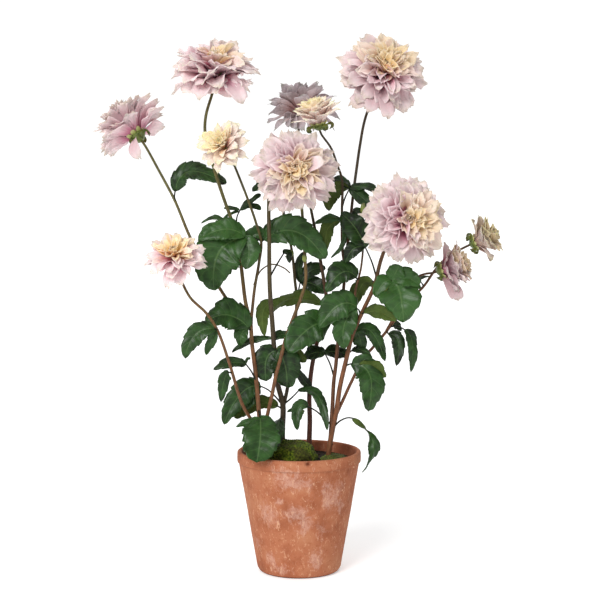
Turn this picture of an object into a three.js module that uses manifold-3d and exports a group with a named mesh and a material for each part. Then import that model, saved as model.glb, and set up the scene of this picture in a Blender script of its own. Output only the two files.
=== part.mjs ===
// A dahlia with large café au lait flowers, growing in a clay pot.
// Millimetres, +Z up, the origin is the middle of the pot's foot, and -Y is the front.
import * as THREE from 'three';
import { mergeVertices } from 'three/addons/utils/BufferGeometryUtils.js';
import Module from 'manifold-3d';

const wasm = await Module();
wasm.setup();

// The pot
const POT_HEIGHT = 200;
const RIM_RADIUS = 102.5;
const FOOT_RADIUS = 70;
const WALL = 9;
const RIM_BAND = 20;
const RIM_STEP = 1.6;
const FLOOR = 12;
const POT_FACETS = 32;

// What fills the pot
const SOIL_LEVEL = 185;
const STALK_FOOT = 158;
const GAP = 0.3;

// The plant
const STALK_SIDES = 6;
const TWIG_SIDES = 5;
const TWIG_THICK = 3.1;
const STALK_STEP = 54;
const PETIOLE_THICK = [1.6, 1.2];
const PETIOLE_SIDES = 4;
const PETIOLE_STEP = 24;
const BLADE_THICK = 0.9;
const BLADE_STEP = 25;
const BLADE_FOLD = 0.16;
const BLADE_WAVE = 0.05;
const PETAL_THICK = 1.2;

const COLOURS = {
  clay: '#C27A57',
  earth: '#2E241B',
  moss: '#76802F',
  stem: '#6B5A33',
  leaf: '#2F5A2C',
  petal: '#DCC3CB',
  cream: '#E9D3A4',
  dusk: '#A98791',
};

const UP = new THREE.Vector3(0, 0, 1);

function vector(point) {
  return new THREE.Vector3(...point);
}

// A repeatable source of numbers from 0 to 1, so that no two petals are quite alike.
function seeded(seed) {
  let state = seed;
  return () => {
    state = (state * 1103515245 + 12345) % 2147483648;
    return state / 2147483648;
  };
}

// A closed geometry as a solid, without the triangles that shrink to nothing on an axis.
function solidOf(source) {
  const geometry = source.clone();
  geometry.deleteAttribute('normal');
  geometry.deleteAttribute('uv');
  const merged = mergeVertices(geometry, 1e-3);
  const corners = merged.index.array;
  const triangles = [];
  for (let i = 0; i < corners.length; i += 3) {
    const [a, b, c] = corners.slice(i, i + 3);
    if (a !== b && b !== c && c !== a) {
      triangles.push(a, b, c);
    }
  }
  return new wasm.Manifold(new wasm.Mesh({
    numProp: 3,
    vertProperties: new Float32Array(merged.attributes.position.array),
    triVerts: new Uint32Array(triangles),
  }));
}

// The largest body of a solid: what a cut leaves loose is dropped.
function largestBody(solid) {
  const bodies = solid.decompose();
  bodies.sort((a, b) => b.volume() - a.volume());
  return bodies[0];
}

function geometryOf(solid) {
  const mesh = largestBody(solid.simplify(0.02)).getMesh();
  const geometry = new THREE.BufferGeometry();
  geometry.setAttribute('position', new THREE.BufferAttribute(mesh.vertProperties, 3));
  geometry.setIndex(new THREE.BufferAttribute(mesh.triVerts, 1));
  geometry.computeVertexNormals();
  return geometry;
}

// Solids fused into one, rid of slivers smaller than the tolerance.
function joined(solids, tolerance = 0.15) {
  return wasm.Manifold.union(solids).simplify(tolerance);
}

// A closed skin over rows of points: every row has the same number of points on its upper and
// on its lower face, and both faces are split into triangles alike.
function skinSolid(rows) {
  const positions = rows.flatMap((row) => [...row.upper, ...row.lower]).flatMap((p) => p.toArray());
  const across = rows[0].upper.length;
  const last = rows.length - 1;
  const upper = (row, i) => row * 2 * across + i;
  const lower = (row, i) => upper(row, i) + across;
  const triangles = [];
  const quad = (a, b, c, d) => triangles.push(a, b, c, a, c, d);
  for (let row = 0; row < last; row += 1) {
    for (let i = 0; i < across - 1; i += 1) {
      quad(upper(row, i), upper(row, i + 1), upper(row + 1, i + 1), upper(row + 1, i));
      triangles.push(lower(row, i), lower(row + 1, i + 1), lower(row, i + 1));
      triangles.push(lower(row, i), lower(row + 1, i), lower(row + 1, i + 1));
    }
    quad(lower(row, 0), upper(row, 0), upper(row + 1, 0), lower(row + 1, 0));
    quad(upper(row, across - 1), lower(row, across - 1), lower(row + 1, across - 1),
      upper(row + 1, across - 1));
  }
  for (let i = 0; i < across - 1; i += 1) {
    quad(lower(0, i), lower(0, i + 1), upper(0, i + 1), upper(0, i));
    quad(upper(last, i), upper(last, i + 1), lower(last, i + 1), lower(last, i));
  }
  const geometry = new THREE.BufferGeometry();
  geometry.setAttribute('position', new THREE.Float32BufferAttribute(positions, 3));
  geometry.setIndex(triangles);
  return solidOf(geometry);
}

// A round stem that tapers along a curve, closed at both ends.
function stemSolid(points, thickRadius, thinRadius, sides, step) {
  const curve = new THREE.CatmullRomCurve3(points, false, 'centripetal');
  const steps = Math.max(2, Math.round(curve.getLength() / step));
  const frames = curve.computeFrenetFrames(steps, false);
  const geometry = new THREE.CylinderGeometry(1, 1, steps, sides, steps);
  const position = geometry.attributes.position;
  for (let i = 0; i < position.count; i += 1) {
    const station = Math.round(position.getY(i) + steps / 2);
    const share = station / steps;
    const radius = THREE.MathUtils.lerp(thickRadius, thinRadius, share);
    const centre = curve.getPointAt(share);
    centre.addScaledVector(frames.normals[station], position.getZ(i) * radius);
    centre.addScaledVector(frames.binormals[station], position.getX(i) * radius);
    position.setXYZ(i, centre.x, centre.y, centre.z);
  }
  return solidOf(geometry);
}

const plant = new THREE.Group();

function addMesh(name, solid, colour, roughness) {
  const material = new THREE.MeshStandardMaterial({ color: colour, roughness, metalness: 0 });
  const mesh = new THREE.Mesh(geometryOf(solid), material);
  mesh.name = name;
  plant.add(mesh);
}

// A body turned about the upright axis, from pairs of radius and height.
function turnedSolid(profile, facets) {
  const points = profile.map(([radius, height]) => new THREE.Vector2(radius, height));
  const geometry = new THREE.LatheGeometry(points, facets);
  geometry.rotateX(Math.PI / 2);
  return solidOf(geometry);
}

// How wide the pot is outside at a height, below its rim band.
function potRadius(height) {
  const share = height / (POT_HEIGHT - RIM_BAND);
  return THREE.MathUtils.lerp(FOOT_RADIUS, RIM_RADIUS - 2 * RIM_STEP, share);
}

// The pot is thrown clay with a low plain rim band and a closed floor.
function potSolid() {
  const bandFoot = POT_HEIGHT - RIM_BAND;
  return turnedSolid([
    [0, 0],
    [FOOT_RADIUS - 5, 0],
    [FOOT_RADIUS - 1, 2],
    [potRadius(8), 8],
    [potRadius(bandFoot), bandFoot],
    [RIM_RADIUS - 0.5, bandFoot + 3],
    [RIM_RADIUS, POT_HEIGHT - 4],
    [RIM_RADIUS - 3, POT_HEIGHT],
    [RIM_RADIUS - WALL, POT_HEIGHT - 2],
    [potRadius(FLOOR) - WALL, FLOOR],
    [0, FLOOR],
  ], POT_FACETS);
}

// Where the inside of the wall lies at a height.
function wallRadius(height) {
  const share = (height - FLOOR) / (POT_HEIGHT - 2 - FLOOR);
  return THREE.MathUtils.lerp(potRadius(FLOOR) - WALL, RIM_RADIUS - WALL, share);
}

function soilSolid() {
  const foot = FLOOR + GAP;
  return turnedSolid([
    [0, foot],
    [wallRadius(foot) - GAP, foot],
    [wallRadius(SOIL_LEVEL) - GAP, SOIL_LEVEL],
    [0, SOIL_LEVEL],
  ], POT_FACETS);
}

const MOSS_LUMPS = 14;
const MOSS = {
  moss_cushion: { centre: [-13, 2], spread: [43, 52], height: 27, facets: 16, seed: 7 },
  moss_patch: { centre: [58, -14], spread: [22, 36], height: 7, facets: 12, seed: 21 },
};

// Moss lies on the soil as lumpy pads: half an egg shape whose skin is pushed in and out.
function mossSolid(centre, spread, height, facets, seed) {
  const random = seeded(seed);
  const shape = new THREE.SphereGeometry(1, facets, 6, 0, 2 * Math.PI, 0, Math.PI / 2);
  const lumps = [];
  for (let i = 0; i < MOSS_LUMPS; i += 1) {
    const angle = random() * 2 * Math.PI;
    lumps.push([Math.cos(angle) * random(), Math.sin(angle) * random(), 0.05 + 0.08 * random()]);
  }
  shape.rotateX(Math.PI / 2);
  const dome = shape.attributes.position;
  for (let i = 0; i < dome.count; i += 1) {
    const [x, y, z] = [dome.getX(i), dome.getY(i), dome.getZ(i)];
    const swell = lumps.reduce((sum, [lumpX, lumpY, size]) => (
      sum + size * Math.exp(-12 * ((x - lumpX) ** 2 + (y - lumpY) ** 2))), 0.92);
    dome.setXYZ(i, x * swell, y * swell, Math.max(z, 0) ** 0.75 * swell);
  }
  const floor = new THREE.CircleGeometry(1, facets);
  floor.rotateX(Math.PI);
  const rim = [];
  for (let i = 0; i <= facets; i += 1) {
    const top = dome.count - facets - 1 + i;
    rim.push(new THREE.Vector3(dome.getX(top), dome.getY(top), 0));
  }
  const rows = shape.toNonIndexed().attributes.position.array;
  const floorRows = [];
  for (let i = 0; i < facets; i += 1) {
    floorRows.push(0, 0, 0, ...rim[i + 1].toArray(), ...rim[i].toArray());
  }
  const pad = new THREE.BufferGeometry();
  pad.setAttribute('position', new THREE.Float32BufferAttribute([...rows, ...floorRows], 3));
  pad.scale(spread[0], spread[1], height);
  pad.translate(centre[0], centre[1], SOIL_LEVEL + GAP);
  return solidOf(pad);
}

// The stalks. Each starts in the soil and forks: thick is the radius where a branch starts and
// where it ends, way is its route, and end is the flower it carries, if it carries one.
const STALKS = {
  stalk_left: [
    { end: 'top_left', thick: [3.9, 2.3],
      way: [[-59, -15, STALK_FOOT], [-59, -15, 191], [-65, -18, 258], [-68, -15, 298], [-72, -12, 336],
        [-77, -8, 378], [-80, -5, 416], [-87, -2, 442], [-96, 2, 512], [-109, 6, 574],
        [-122, 9, 611], [-140, 14, 666], [-153, 17, 718], [-152, 18, 747]] },
    { end: 'cream_left', thick: [2.7, 1.9],
      way: [[-79, -6, 406], [-76, -14, 435], [-72, -20, 469], [-65, -24, 509], [-61, -26, 544],
        [-69, -34, 575], [-82, -46, 614]] },
    { end: 'left_side', thick: [2.9, 2],
      way: [[-80, -6, 411], [-97, -2, 428], [-116, 5, 446], [-148, 17, 496], [-178, 30, 546],
        [-205, 44, 608], [-234, 58, 661]] },
    { end: 'left_low', thick: [2.9, 2],
      way: [[-64, -19, 236], [-80, -27, 258], [-93, -36, 284], [-112, -58, 352], [-130, -76, 407],
        [-147, -86, 435], [-172, -94, 461]] },
    { end: 'centre', thick: [3.2, 2.4],
      way: [[-61, -17, 219], [-52, -20, 260], [-44, -22, 295], [-38, -20, 325], [-31, -16, 351],
        [-21, -8, 388], [-7, -1, 425], [3, 3, 451], [11, 6, 480], [10, 10, 510], [8, 12, 546],
        [6, 4, 577], [3, -10, 608]] },
    { thick: [1.3, 1.1],
      way: [[-73, -20, 474], [-68, -14, 488], [-60, -5, 499], [-44, 8, 506], [-25, 22, 499],
        [-15, 32, 490]] },
  ],
  stalk_back_left: [
    { end: 'back', thick: [5.2, 2],
      way: [[-28, 35, STALK_FOOT], [-28, 35, 188], [-28, 35, 227], [-27, 34, 269], [-35, 26, 304],
        [-38, 16, 334], [-41, 5, 368], [-44, -8, 416], [-47, -18, 459], [-48, -28, 499],
        [-48, -34, 556], [-49, -20, 592], [-48, 15, 635], [-40, 50, 668]] },
    { thick: [3.2, 1.9],
      way: [[-27, 35, 266], [-20, 36, 294], [-12, 40, 361], [-4, 46, 444], [-7, 45, 476],
        [-12, 40, 526], [-22, 30, 574], [-30, 20, 614]] },
  ],
  stalk_back: [
    { thick: [4.6, 2.3],
      way: [[17, 45, STALK_FOOT], [17, 45, 188], [17, 45, 208], [18, 46, 242], [17, 46, 276],
        [19, 46, 313], [25, 44, 352], [35, 42, 394], [45, 38, 445], [41, 34, 477], [33, 28, 523],
        [26, 22, 563], [18, 14, 603]] },
  ],
  stalk_right: [
    { end: 'right', thick: [4.4, 2.8],
      way: [[48, -5, STALK_FOOT], [48, -5, 189], [54, -5, 229], [61, -6, 264], [67, -8, 306],
        [78, -10, 355], [87, -12, 392], [104, -16, 432], [122, -22, 473], [132, -28, 515]] },
    { end: 'cream_top', thick: [3.6, 1.7],
      way: [[51, -4, 209], [53, -1, 242], [55, 2, 274], [57, 6, 312], [60, 8, 335], [64, 12, 378],
        [71, 17, 443], [75, 19, 496], [71, 17, 532], [70, 11, 595], [70, 6, 644], [62, 3, 668],
        [52, -1, 695]] },
    { end: 'top_right', thick: [2.7, 2.2],
      way: [[75, 19, 493], [79, 24, 528], [85, 33, 581], [89, 41, 617], [96, 51, 668],
        [101, 58, 701], [109, 66, 742]] },
    { end: 'right_end', thick: [2.8, 1.9],
      way: [[61, -5, 261], [71, 1, 280], [82, 8, 303], [94, 14, 327], [106, 18, 350],
        [121, 22, 366], [145, 28, 394], [162, 32, 417], [194, 40, 454], [207, 43, 467],
        [232, 48, 501], [259, 53, 522]] },
    { end: 'right_low', thick: [2.2, 1.7],
      way: [[145, 28, 394], [166, 20, 438], [179, 12, 467], [191, 4, 484], [205, -4, 491]] },
    { thick: [2, 1.4],
      way: [[96, -14, 417], [92, -6, 442], [92, 0, 463], [96, 0, 479], [101, 1, 500],
        [104, 3, 526], [106, 5, 559], [109, 4, 583], [106, 0, 592]] },
  ],
};

// Small closed buds on the stalks: where each sits, its half width and its half height.
const BUDS = {
  stalk_left: [[9, 8, 516, 4.5, 7]],
  stalk_back_left: [[-14, 38, 522, 6, 7], [-31, 19, 619, 5, 8]],
  stalk_back: [[17, 13, 608, 5, 8]],
  stalk_right: [[104, -2, 597, 5, 10]],
};

// The flowers: the middle of each head, the way its heart faces, its radius, how many petals,
// and the tips of petals that have come loose and hang.
const BLOOMS = {
  top_left: { centre: [-140, 20, 817], faces: [0.30, -0.28, 0.90], radius: 73, petals: 10,
    colour: COLOURS.petal, loose: [[-163, -24, 760], [-92, -20, 762]] },
  left_side: { centre: [-283, 60, 739], faces: [-0.56, -0.10, 0.83], radius: 60, petals: 9,
    colour: COLOURS.petal, loose: [[-272, 8, 688]] },
  left_low: { centre: [-192, -110, 522], faces: [-0.10, -0.72, 0.69], radius: 52, petals: 8,
    colour: COLOURS.petal, loose: [] },
  cream_left: { centre: [-119, -60, 697], faces: [-0.30, -0.80, 0.52], radius: 46, petals: 8,
    colour: COLOURS.cream, loose: [] },
  centre: { centre: [-3, -90, 659], faces: [0.04, -0.98, 0.18], radius: 71, petals: 10,
    colour: COLOURS.petal, loose: [] },
  back: { centre: [-12, 110, 770], faces: [-0.40, 0.25, 0.88], radius: 49, petals: 8,
    colour: COLOURS.dusk, loose: [] },
  cream_top: { centre: [30, -10, 759], faces: [-0.05, -0.35, 0.93], radius: 44, petals: 8,
    colour: COLOURS.cream, loose: [] },
  top_right: { centre: [137, 30, 817], faces: [0.20, -0.90, 0.38], radius: 73, petals: 10,
    colour: COLOURS.petal, loose: [] },
  right: { centre: [167, -80, 582], faces: [0.22, -0.95, 0.12], radius: 72, petals: 10,
    colour: COLOURS.petal, loose: [] },
  right_low: { centre: [248, -20, 500], faces: [0.88, -0.25, 0.30], radius: 45, petals: 8,
    colour: COLOURS.petal, loose: [[264, -30, 452]] },
  right_end: { centre: [312, 60, 541], faces: [0.82, -0.25, 0.50], radius: 45, petals: 8,
    colour: COLOURS.cream, loose: [] },
};

// The leaves. Each is a leaf stalk, whose first point is in the middle of the stalk it grows
// from, and blades given by base, bend and tip, their width, and how far the upper face is
// tilted up from facing the front: 0 faces the front, 90 the sky, and 180 the back. A last
// number turns the face to the right.
const LEAVES = {
  left_arch: { on: 'stalk_left',
    petiole: [[-204, 44, 607], [-208, 40, 622], [-200, 38, 633], [-192, 36, 640]],
    blades: [[[-199, 38, 633], [-158, 30, 671], [-118, 28, 637], 40, 52]] },
  left_small: { on: 'stalk_left',
    petiole: [[-106, 5, 561], [-103, 14, 568], [-102, 24, 583], [-97, 30, 594]],
    blades: [[[-97, 30, 594], [-110, 31, 599], [-124, 32, 597], 9, 30],
      [[-97, 30, 594], [-81, 34, 610], [-63, 36, 620], 13, 40],
      [[-97, 30, 594], [-78, 35, 609], [-63, 38, 594], 14, 30],
      [[-98, 30, 592], [-112, 28, 592], [-128, 26, 576], 7, 30]] },
  left_wisp: { on: 'stalk_left', petiole: [[-108, 6, 564], [-112, 9, 566], [-116, 12, 568]],
    blades: [[[-115, 12, 568], [-133, 16, 594], [-160, 14, 573], 10, 50]] },
  left_big: { on: 'stalk_left', petiole: [[-61, -26, 546], [-72, -33, 551], [-85, -38, 552]],
    blades: [[[-84, -38, 553], [-138, -46, 544], [-143, -50, 469], 62, 20],
      [[-84, -38, 553], [-127, -42, 571], [-168, -47, 544], 44, 35],
      [[-84, -38, 551], [-98, -46, 536], [-80, -50, 509], 26, 10]] },
  middle_long: { on: 'stalk_left', petiole: [[-61, -26, 544], [-60, -22, 545], [-57, -18, 547]],
    blades: [[[-57, -18, 547], [-13, -10, 587], [52, -8, 509], 46, 10],
      [[-58, -19, 546], [-71, -18, 570], [-83, -16, 537], 32, 10],
      [[-57, -17, 548], [-46, -10, 573], [-20, -6, 576], 26, 20]] },
  inner_right_high: { on: 'stalk_right', petiole: [[71, 13, 575], [69, 10, 576], [66, 8, 577]],
    blades: [[[67, 8, 578], [52, 2, 587], [26, -2, 572], 18, 40],
      [[67, 8, 577], [37, 0, 575], [44, -4, 528], 25, 160],
      [[67, 8, 576], [88, 1, 546], [52, 0, 517], 9, 20]] },
  inner_right: { on: 'stalk_right', petiole: [[126, -23, 484], [118, -18, 511], [107, -11, 536]],
    blades: [[[108, -11, 535], [94, -14, 570], [68, -10, 590], 44, 15],
      [[108, -11, 535], [86, -16, 542], [75, -14, 510], 26, 25],
      [[107, -11, 535], [113, -12, 552], [122, -12, 548], 8, 30]] },
  upper_right: { on: 'stalk_right', petiole: [[70, 11, 598], [75, 16, 614], [83, 20, 630]],
    blades: [[[83, 20, 629], [72, 22, 648], [54, 22, 643], 20, 35],
      [[83, 20, 631], [46, 17, 634], [49, 13, 593], 30, 150],
      [[82, 20, 629], [109, 16, 642], [132, 12, 621], 20, 45],
      [[82, 20, 629], [106, 13, 617], [121, 10, 596], 26, 30]] },
  side_shoot: { on: 'stalk_right', petiole: [[109, 4, 583], [107, 2, 586], [104, 0, 589]],
    blades: [[[105, 0, 588], [94, -4, 602], [86, -4, 582], 13, 30]] },
  middle_dark: { on: 'stalk_back_left', petiole: [[-4, 46, 447], [0, 50, 464], [2, 51, 474]],
    blades: [[[2, 51, 472], [-7, 51, 500], [8, 49, 524], 16, 20],
      [[2, 51, 472], [20, 51, 504], [43, 51, 494], 28, 30],
      [[2, 51, 472], [21, 53, 478], [45, 51, 455], 32, 20]] },
  middle_right_big: { on: 'stalk_right', petiole: [[100, -15, 425], [96, -22, 435], [91, -24, 437]],
    blades: [[[94, -23, 438], [66, -32, 462], [32, -36, 406], 52, 25],
      [[93, -23, 437], [63, -34, 417], [74, -36, 372], 40, 10]] },
  middle_big: { on: 'stalk_right', petiole: [[67, 15, 414], [57, 8, 413], [49, 1, 411], [43, -2, 412]],
    blades: [[[51, 1, 410], [19, -14, 420], [-20, -30, 364], 54, 15]] },
  middle_olive: { on: 'stalk_back', petiole: [[44, 38, 440], [40, 36, 439], [35, 33, 438]],
    blades: [[[38, 34, 438], [-12, 22, 466], [-58, 6, 424], 36, 140],
      [[-41, 10, 444], [-70, 2, 441], [-56, 0, 389], 24, 160]] },
  low_dark: { on: 'stalk_back_left', petiole: [[-41, 5, 368], [-39, 2, 366], [-36, -1, 363]],
    blades: [[[-37, 0, 365], [-18, -5, 350], [-17, -3, 302], 46, 10],
      [[-37, 0, 364], [-61, -5, 363], [-54, -7, 315], 38, 15],
      [[-37, 1, 364], [-10, 5, 370], [11, 7, 345], 30, 150]] },
  low_pair: { on: 'stalk_back_left', petiole: [[-43, -2, 392], [-44, 2, 388], [-44, 7, 382]],
    blades: [[[-44, 5, 384], [-77, 10, 389], [-110, 9, 361], 16, 50],
      [[-44, 5, 384], [-33, 12, 391], [-17, 14, 391], 18, 30]] },
  behind_centre: { on: 'stalk_back_left', petiole: [[-48, 16, 637], [-50, 19, 638], [-54, 23, 638]],
    blades: [[[-51, 22, 638], [-64, 27, 638], [-77, 28, 625], 14, 30]] },
  left_middle: { on: 'stalk_left', petiole: [[-78, -6, 400], [-81, -11, 401], [-85, -15, 403]],
    blades: [[[-82, -13, 402], [-110, -22, 442], [-151, -28, 415], 56, 30],
      [[-82, -13, 402], [-99, -22, 401], [-94, -24, 375], 26, 10]] },
  left_hanging: { on: 'stalk_left', petiole: [[-130, -76, 407], [-131, -79, 408], [-134, -82, 410]],
    blades: [[[-131, -80, 409], [-170, -84, 417], [-181, -86, 363], 34, 25],
      [[-131, -79, 407], [-139, -70, 393], [-149, -66, 366], 17, 15]] },
  left_thin: { on: 'stalk_left', petiole: [[-70, -14, 316], [-77, -21, 332], [-87, -28, 347]],
    blades: [[[-85, -27, 346], [-110, -34, 355], [-139, -38, 339], 22, 40],
      [[-86, -28, 346], [-86, -33, 357], [-79, -34, 357], 6, 50]] },
  left_tongue: { on: 'stalk_left', petiole: [[-107, -53, 335], [-110, -56, 336], [-114, -58, 337]],
    blades: [[[-112, -57, 337], [-122, -62, 335], [-125, -62, 289], 22, 0, 20]] },
  low_left_big: { on: 'stalk_back_left',
    petiole: [[-29, 34, 271], [-40, 28, 285], [-51, 18, 297], [-65, 4, 306]],
    blades: [[[-63, 5, 305], [-97, -6, 314], [-123, -14, 245], 42, 15],
      [[-64, 5, 305], [-81, 0, 298], [-87, -4, 267], 30, 10]] },
  low_olive: { on: 'stalk_back_left', petiole: [[-28, 34, 263], [-32, 31, 266], [-38, 25, 270]],
    blades: [[[-35, 27, 270], [-73, 16, 284], [-106, 6, 252], 34, 150]] },
  pot_front: { on: 'stalk_left', petiole: [[-66, -18, 269], [-65, -30, 266], [-63, -42, 260]],
    blades: [[[-63, -40, 261], [-59, -80, 237], [-67, -102, 199], 66, 20],
      [[-63, -42, 260], [-82, -50, 256], [-102, -52, 247], 13, 30]] },
  pot_dark: { on: 'stalk_back_left', petiole: [[-28, 35, 251], [-30, 30, 249], [-33, 21, 247]],
    blades: [[[-32, 23, 248], [-36, -22, 237], [-42, -58, 208], 26, 25]] },
  pot_back: { on: 'stalk_right',
    petiole: [[52, -1, 243], [41, 12, 251], [28, 18, 262], [12, 20, 270]],
    blades: [[[15, 20, 268], [-8, 18, 285], [-3, 12, 231], 24, 10],
      [[12, 20, 269], [-8, 22, 268], [-20, 24, 259], 8, 30]] },
  back_thin: { on: 'stalk_back', petiole: [[18, 46, 286], [20, 42, 291], [22, 38, 296]],
    blades: [[[22, 39, 294], [8, 36, 308], [-3, 32, 330], 16, 20]] },
  low_curl: { on: 'stalk_back_left', petiole: [[-25, 34, 271], [-13, 33, 281], [0, 28, 295]],
    blades: [[[-2, 28, 295], [39, 12, 311], [46, -12, 235], 20, 50]] },
  low_right_big: { on: 'stalk_right', petiole: [[75, -9, 340], [80, -12, 343], [88, -17, 346]],
    blades: [[[85, -16, 345], [130, -28, 350], [109, -34, 267], 46, 15],
      [[98, -20, 345], [125, -24, 351], [141, -24, 324], 22, 140]] },
  pot_right: { on: 'stalk_right',
    petiole: [[57, -5, 239], [67, -11, 250], [80, -15, 256], [90, -17, 255]],
    blades: [[[87, -16, 256], [145, -30, 214], [104, -42, 171], 22, 35, 30]] },
  right_hanging: { on: 'stalk_right', petiole: [[88, -12, 395], [90, -8, 397], [94, -3, 398]],
    blades: [[[92, -4, 397], [123, 4, 416], [141, 2, 347], 26, 30],
      [[92, -4, 398], [101, 0, 392], [103, 0, 362], 26, 20],
      [[92, -4, 397], [90, 0, 410], [83, 2, 420], 15, 30]] },
  right_pair: { on: 'stalk_right', petiole: [[145, 28, 394], [146, 25, 392], [148, 20, 389]],
    blades: [[[147, 22, 390], [174, 14, 391], [160, 10, 338], 24, 20]] },
  right_tail: { on: 'stalk_right',
    petiole: [[150, 29, 401], [157, 27, 402], [165, 22, 402], [175, 13, 397]],
    blades: [[[173, 13, 397], [194, 8, 391], [184, 2, 329], 20, 20, 20]] },
  right_low_small: { on: 'stalk_right', petiole: [[79, -10, 359], [82, -7, 362], [87, -5, 366]],
    blades: [[[85, -5, 365], [101, -10, 372], [118, -12, 358], 14, 45]] },
  low_middle_pair: { on: 'stalk_right', petiole: [[57, 7, 322], [51, 14, 341], [42, 21, 359]],
    blades: [[[44, 20, 358], [26, 24, 363], [6, 26, 349], 26, 30],
      [[43, 20, 358], [59, 24, 364], [83, 26, 354], 26, 30]] },
  right_broad: { on: 'stalk_right', petiole: [[126, -24, 483], [137, -29, 489], [150, -34, 482]],
    blades: [[[148, -33, 483], [164, -42, 476], [169, -46, 418], 56, 15],
      [[148, -33, 482], [156, -38, 497], [162, -40, 508], 28, 20],
      [[148, -34, 482], [172, -40, 498], [191, -42, 476], 26, 20],
      [[149, -33, 483], [134, -37, 477], [127, -40, 448], 24, 15]] },
  right_speck: { on: 'stalk_right', petiole: [[207, 43, 467], [205, 40, 470], [203, 37, 473]],
    blades: [[[204, 38, 473], [193, 34, 483], [216, 30, 485], 12, 60]] },
  right_inner: { on: 'stalk_right', petiole: [[124, -23, 478], [122, -19, 479], [118, -13, 481]],
    blades: [[[120, -15, 480], [99, 20, 484], [89, 20, 431], 30, 150]] },
  right_olive: { on: 'stalk_right', petiole: [[101, -16, 427], [103, -19, 428], [107, -23, 430]],
    blades: [[[105, -21, 429], [129, -28, 439], [157, -28, 416], 34, 140]] },
  right_under: { on: 'stalk_right', petiole: [[162, 32, 416], [162, 36, 413], [161, 40, 410]],
    blades: [[[161, 39, 411], [159, 43, 403], [171, 44, 393], 14, 20]] },
  middle_right: { on: 'stalk_right', petiole: [[97, 0, 482], [95, -3, 483], [91, -7, 486]],
    blades: [[[94, -6, 485], [71, -16, 515], [44, -22, 463], 42, 30]] },
  middle_speck: { on: 'stalk_back_left',
    petiole: [[-47, -25, 488], [-36, -8, 507], [-25, 12, 524]],
    blades: [[[-26, 11, 523], [-18, 20, 532], [-15, 26, 507], 15, 20]] },
};

// A flower head is built about the upright axis with its heart up, in shares of its radius.
const SMALL_HEAD = 55;
const CALYX_TOP = -0.36;
const CALYX_PROFILE = [[0, -0.60], [0.10, -0.60], [0.27, -0.44], [0.22, CALYX_TOP], [0, CALYX_TOP]];
const CALYX_END = -0.60;
const CALYX_RIM = 2;
const BRACTS = 5;

// Stands a solid that was built about the upright axis at a flower's place.
function placed(solid, bloom) {
  const turn = new THREE.Quaternion().setFromUnitVectors(UP, vector(bloom.faces).normalize());
  const matrix = new THREE.Matrix4().compose(vector(bloom.centre), turn, new THREE.Vector3(1, 1, 1));
  return solid.transform(matrix.toArray());
}

// A loose petal is a pointed kite, hollowed along its middle: root, two shoulders, middle and tip.
function petalSolid(root, tip, width, cup, upward) {
  const along = tip.clone().sub(root);
  const side = along.clone().cross(upward).normalize();
  const face = side.clone().cross(along).normalize();
  const outline = [
    [0, 0, 0],
    [0.62, -width / 2, cup],
    [0.55, 0, 0],
    [0.62, width / 2, cup],
    [1, 0, cup / 2],
  ];
  const layer = (lift) => outline.map(([share, across, height]) => root.clone()
    .addScaledVector(along, share)
    .addScaledVector(side, across)
    .addScaledVector(face, height + lift));
  const points = [...layer(PETAL_THICK / 2), ...layer(-PETAL_THICK / 2)];
  const upper = [[0, 2, 1], [0, 3, 2], [1, 2, 4], [2, 3, 4]];
  const under = outline.length;
  const lower = upper.map(([a, b, c]) => [a + under, c + under, b + under]);
  const edges = [[0, 1], [1, 4], [4, 3], [3, 0]].flatMap(([a, b]) => (
    [[a, b, b + under], [a, b + under, a + under]]));
  const geometry = new THREE.BufferGeometry();
  const positions = points.flatMap((point) => point.toArray());
  geometry.setAttribute('position', new THREE.Float32BufferAttribute(positions, 3));
  geometry.setIndex([...upper, ...lower, ...edges].flat());
  return solidOf(geometry);
}

// The layers of a head, from the drooping outer one to the upright ones over the heart: how far
// each rises in degrees, its length as a share of the head's radius, where its petals part, and
// how much their tips curl.
const LAYERS = [
  { rise: -14, length: 1.0, notch: 0.80, curl: -7 },
  { rise: 6, length: 0.99, notch: 0.80, curl: -5 },
  { rise: 27, length: 0.90, notch: 0.80, curl: 0 },
  { rise: 49, length: 0.76, notch: 0.80, curl: 5 },
  { rise: 71, length: 0.62, notch: 0.82, curl: 9 },
];
const HEAD_BACK = [[0.28, -0.36], [0.40, -0.22]];
const VALLEY = 0.42;
const VALLEY_STEP = 10;
const HEART = 0.46;

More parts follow.
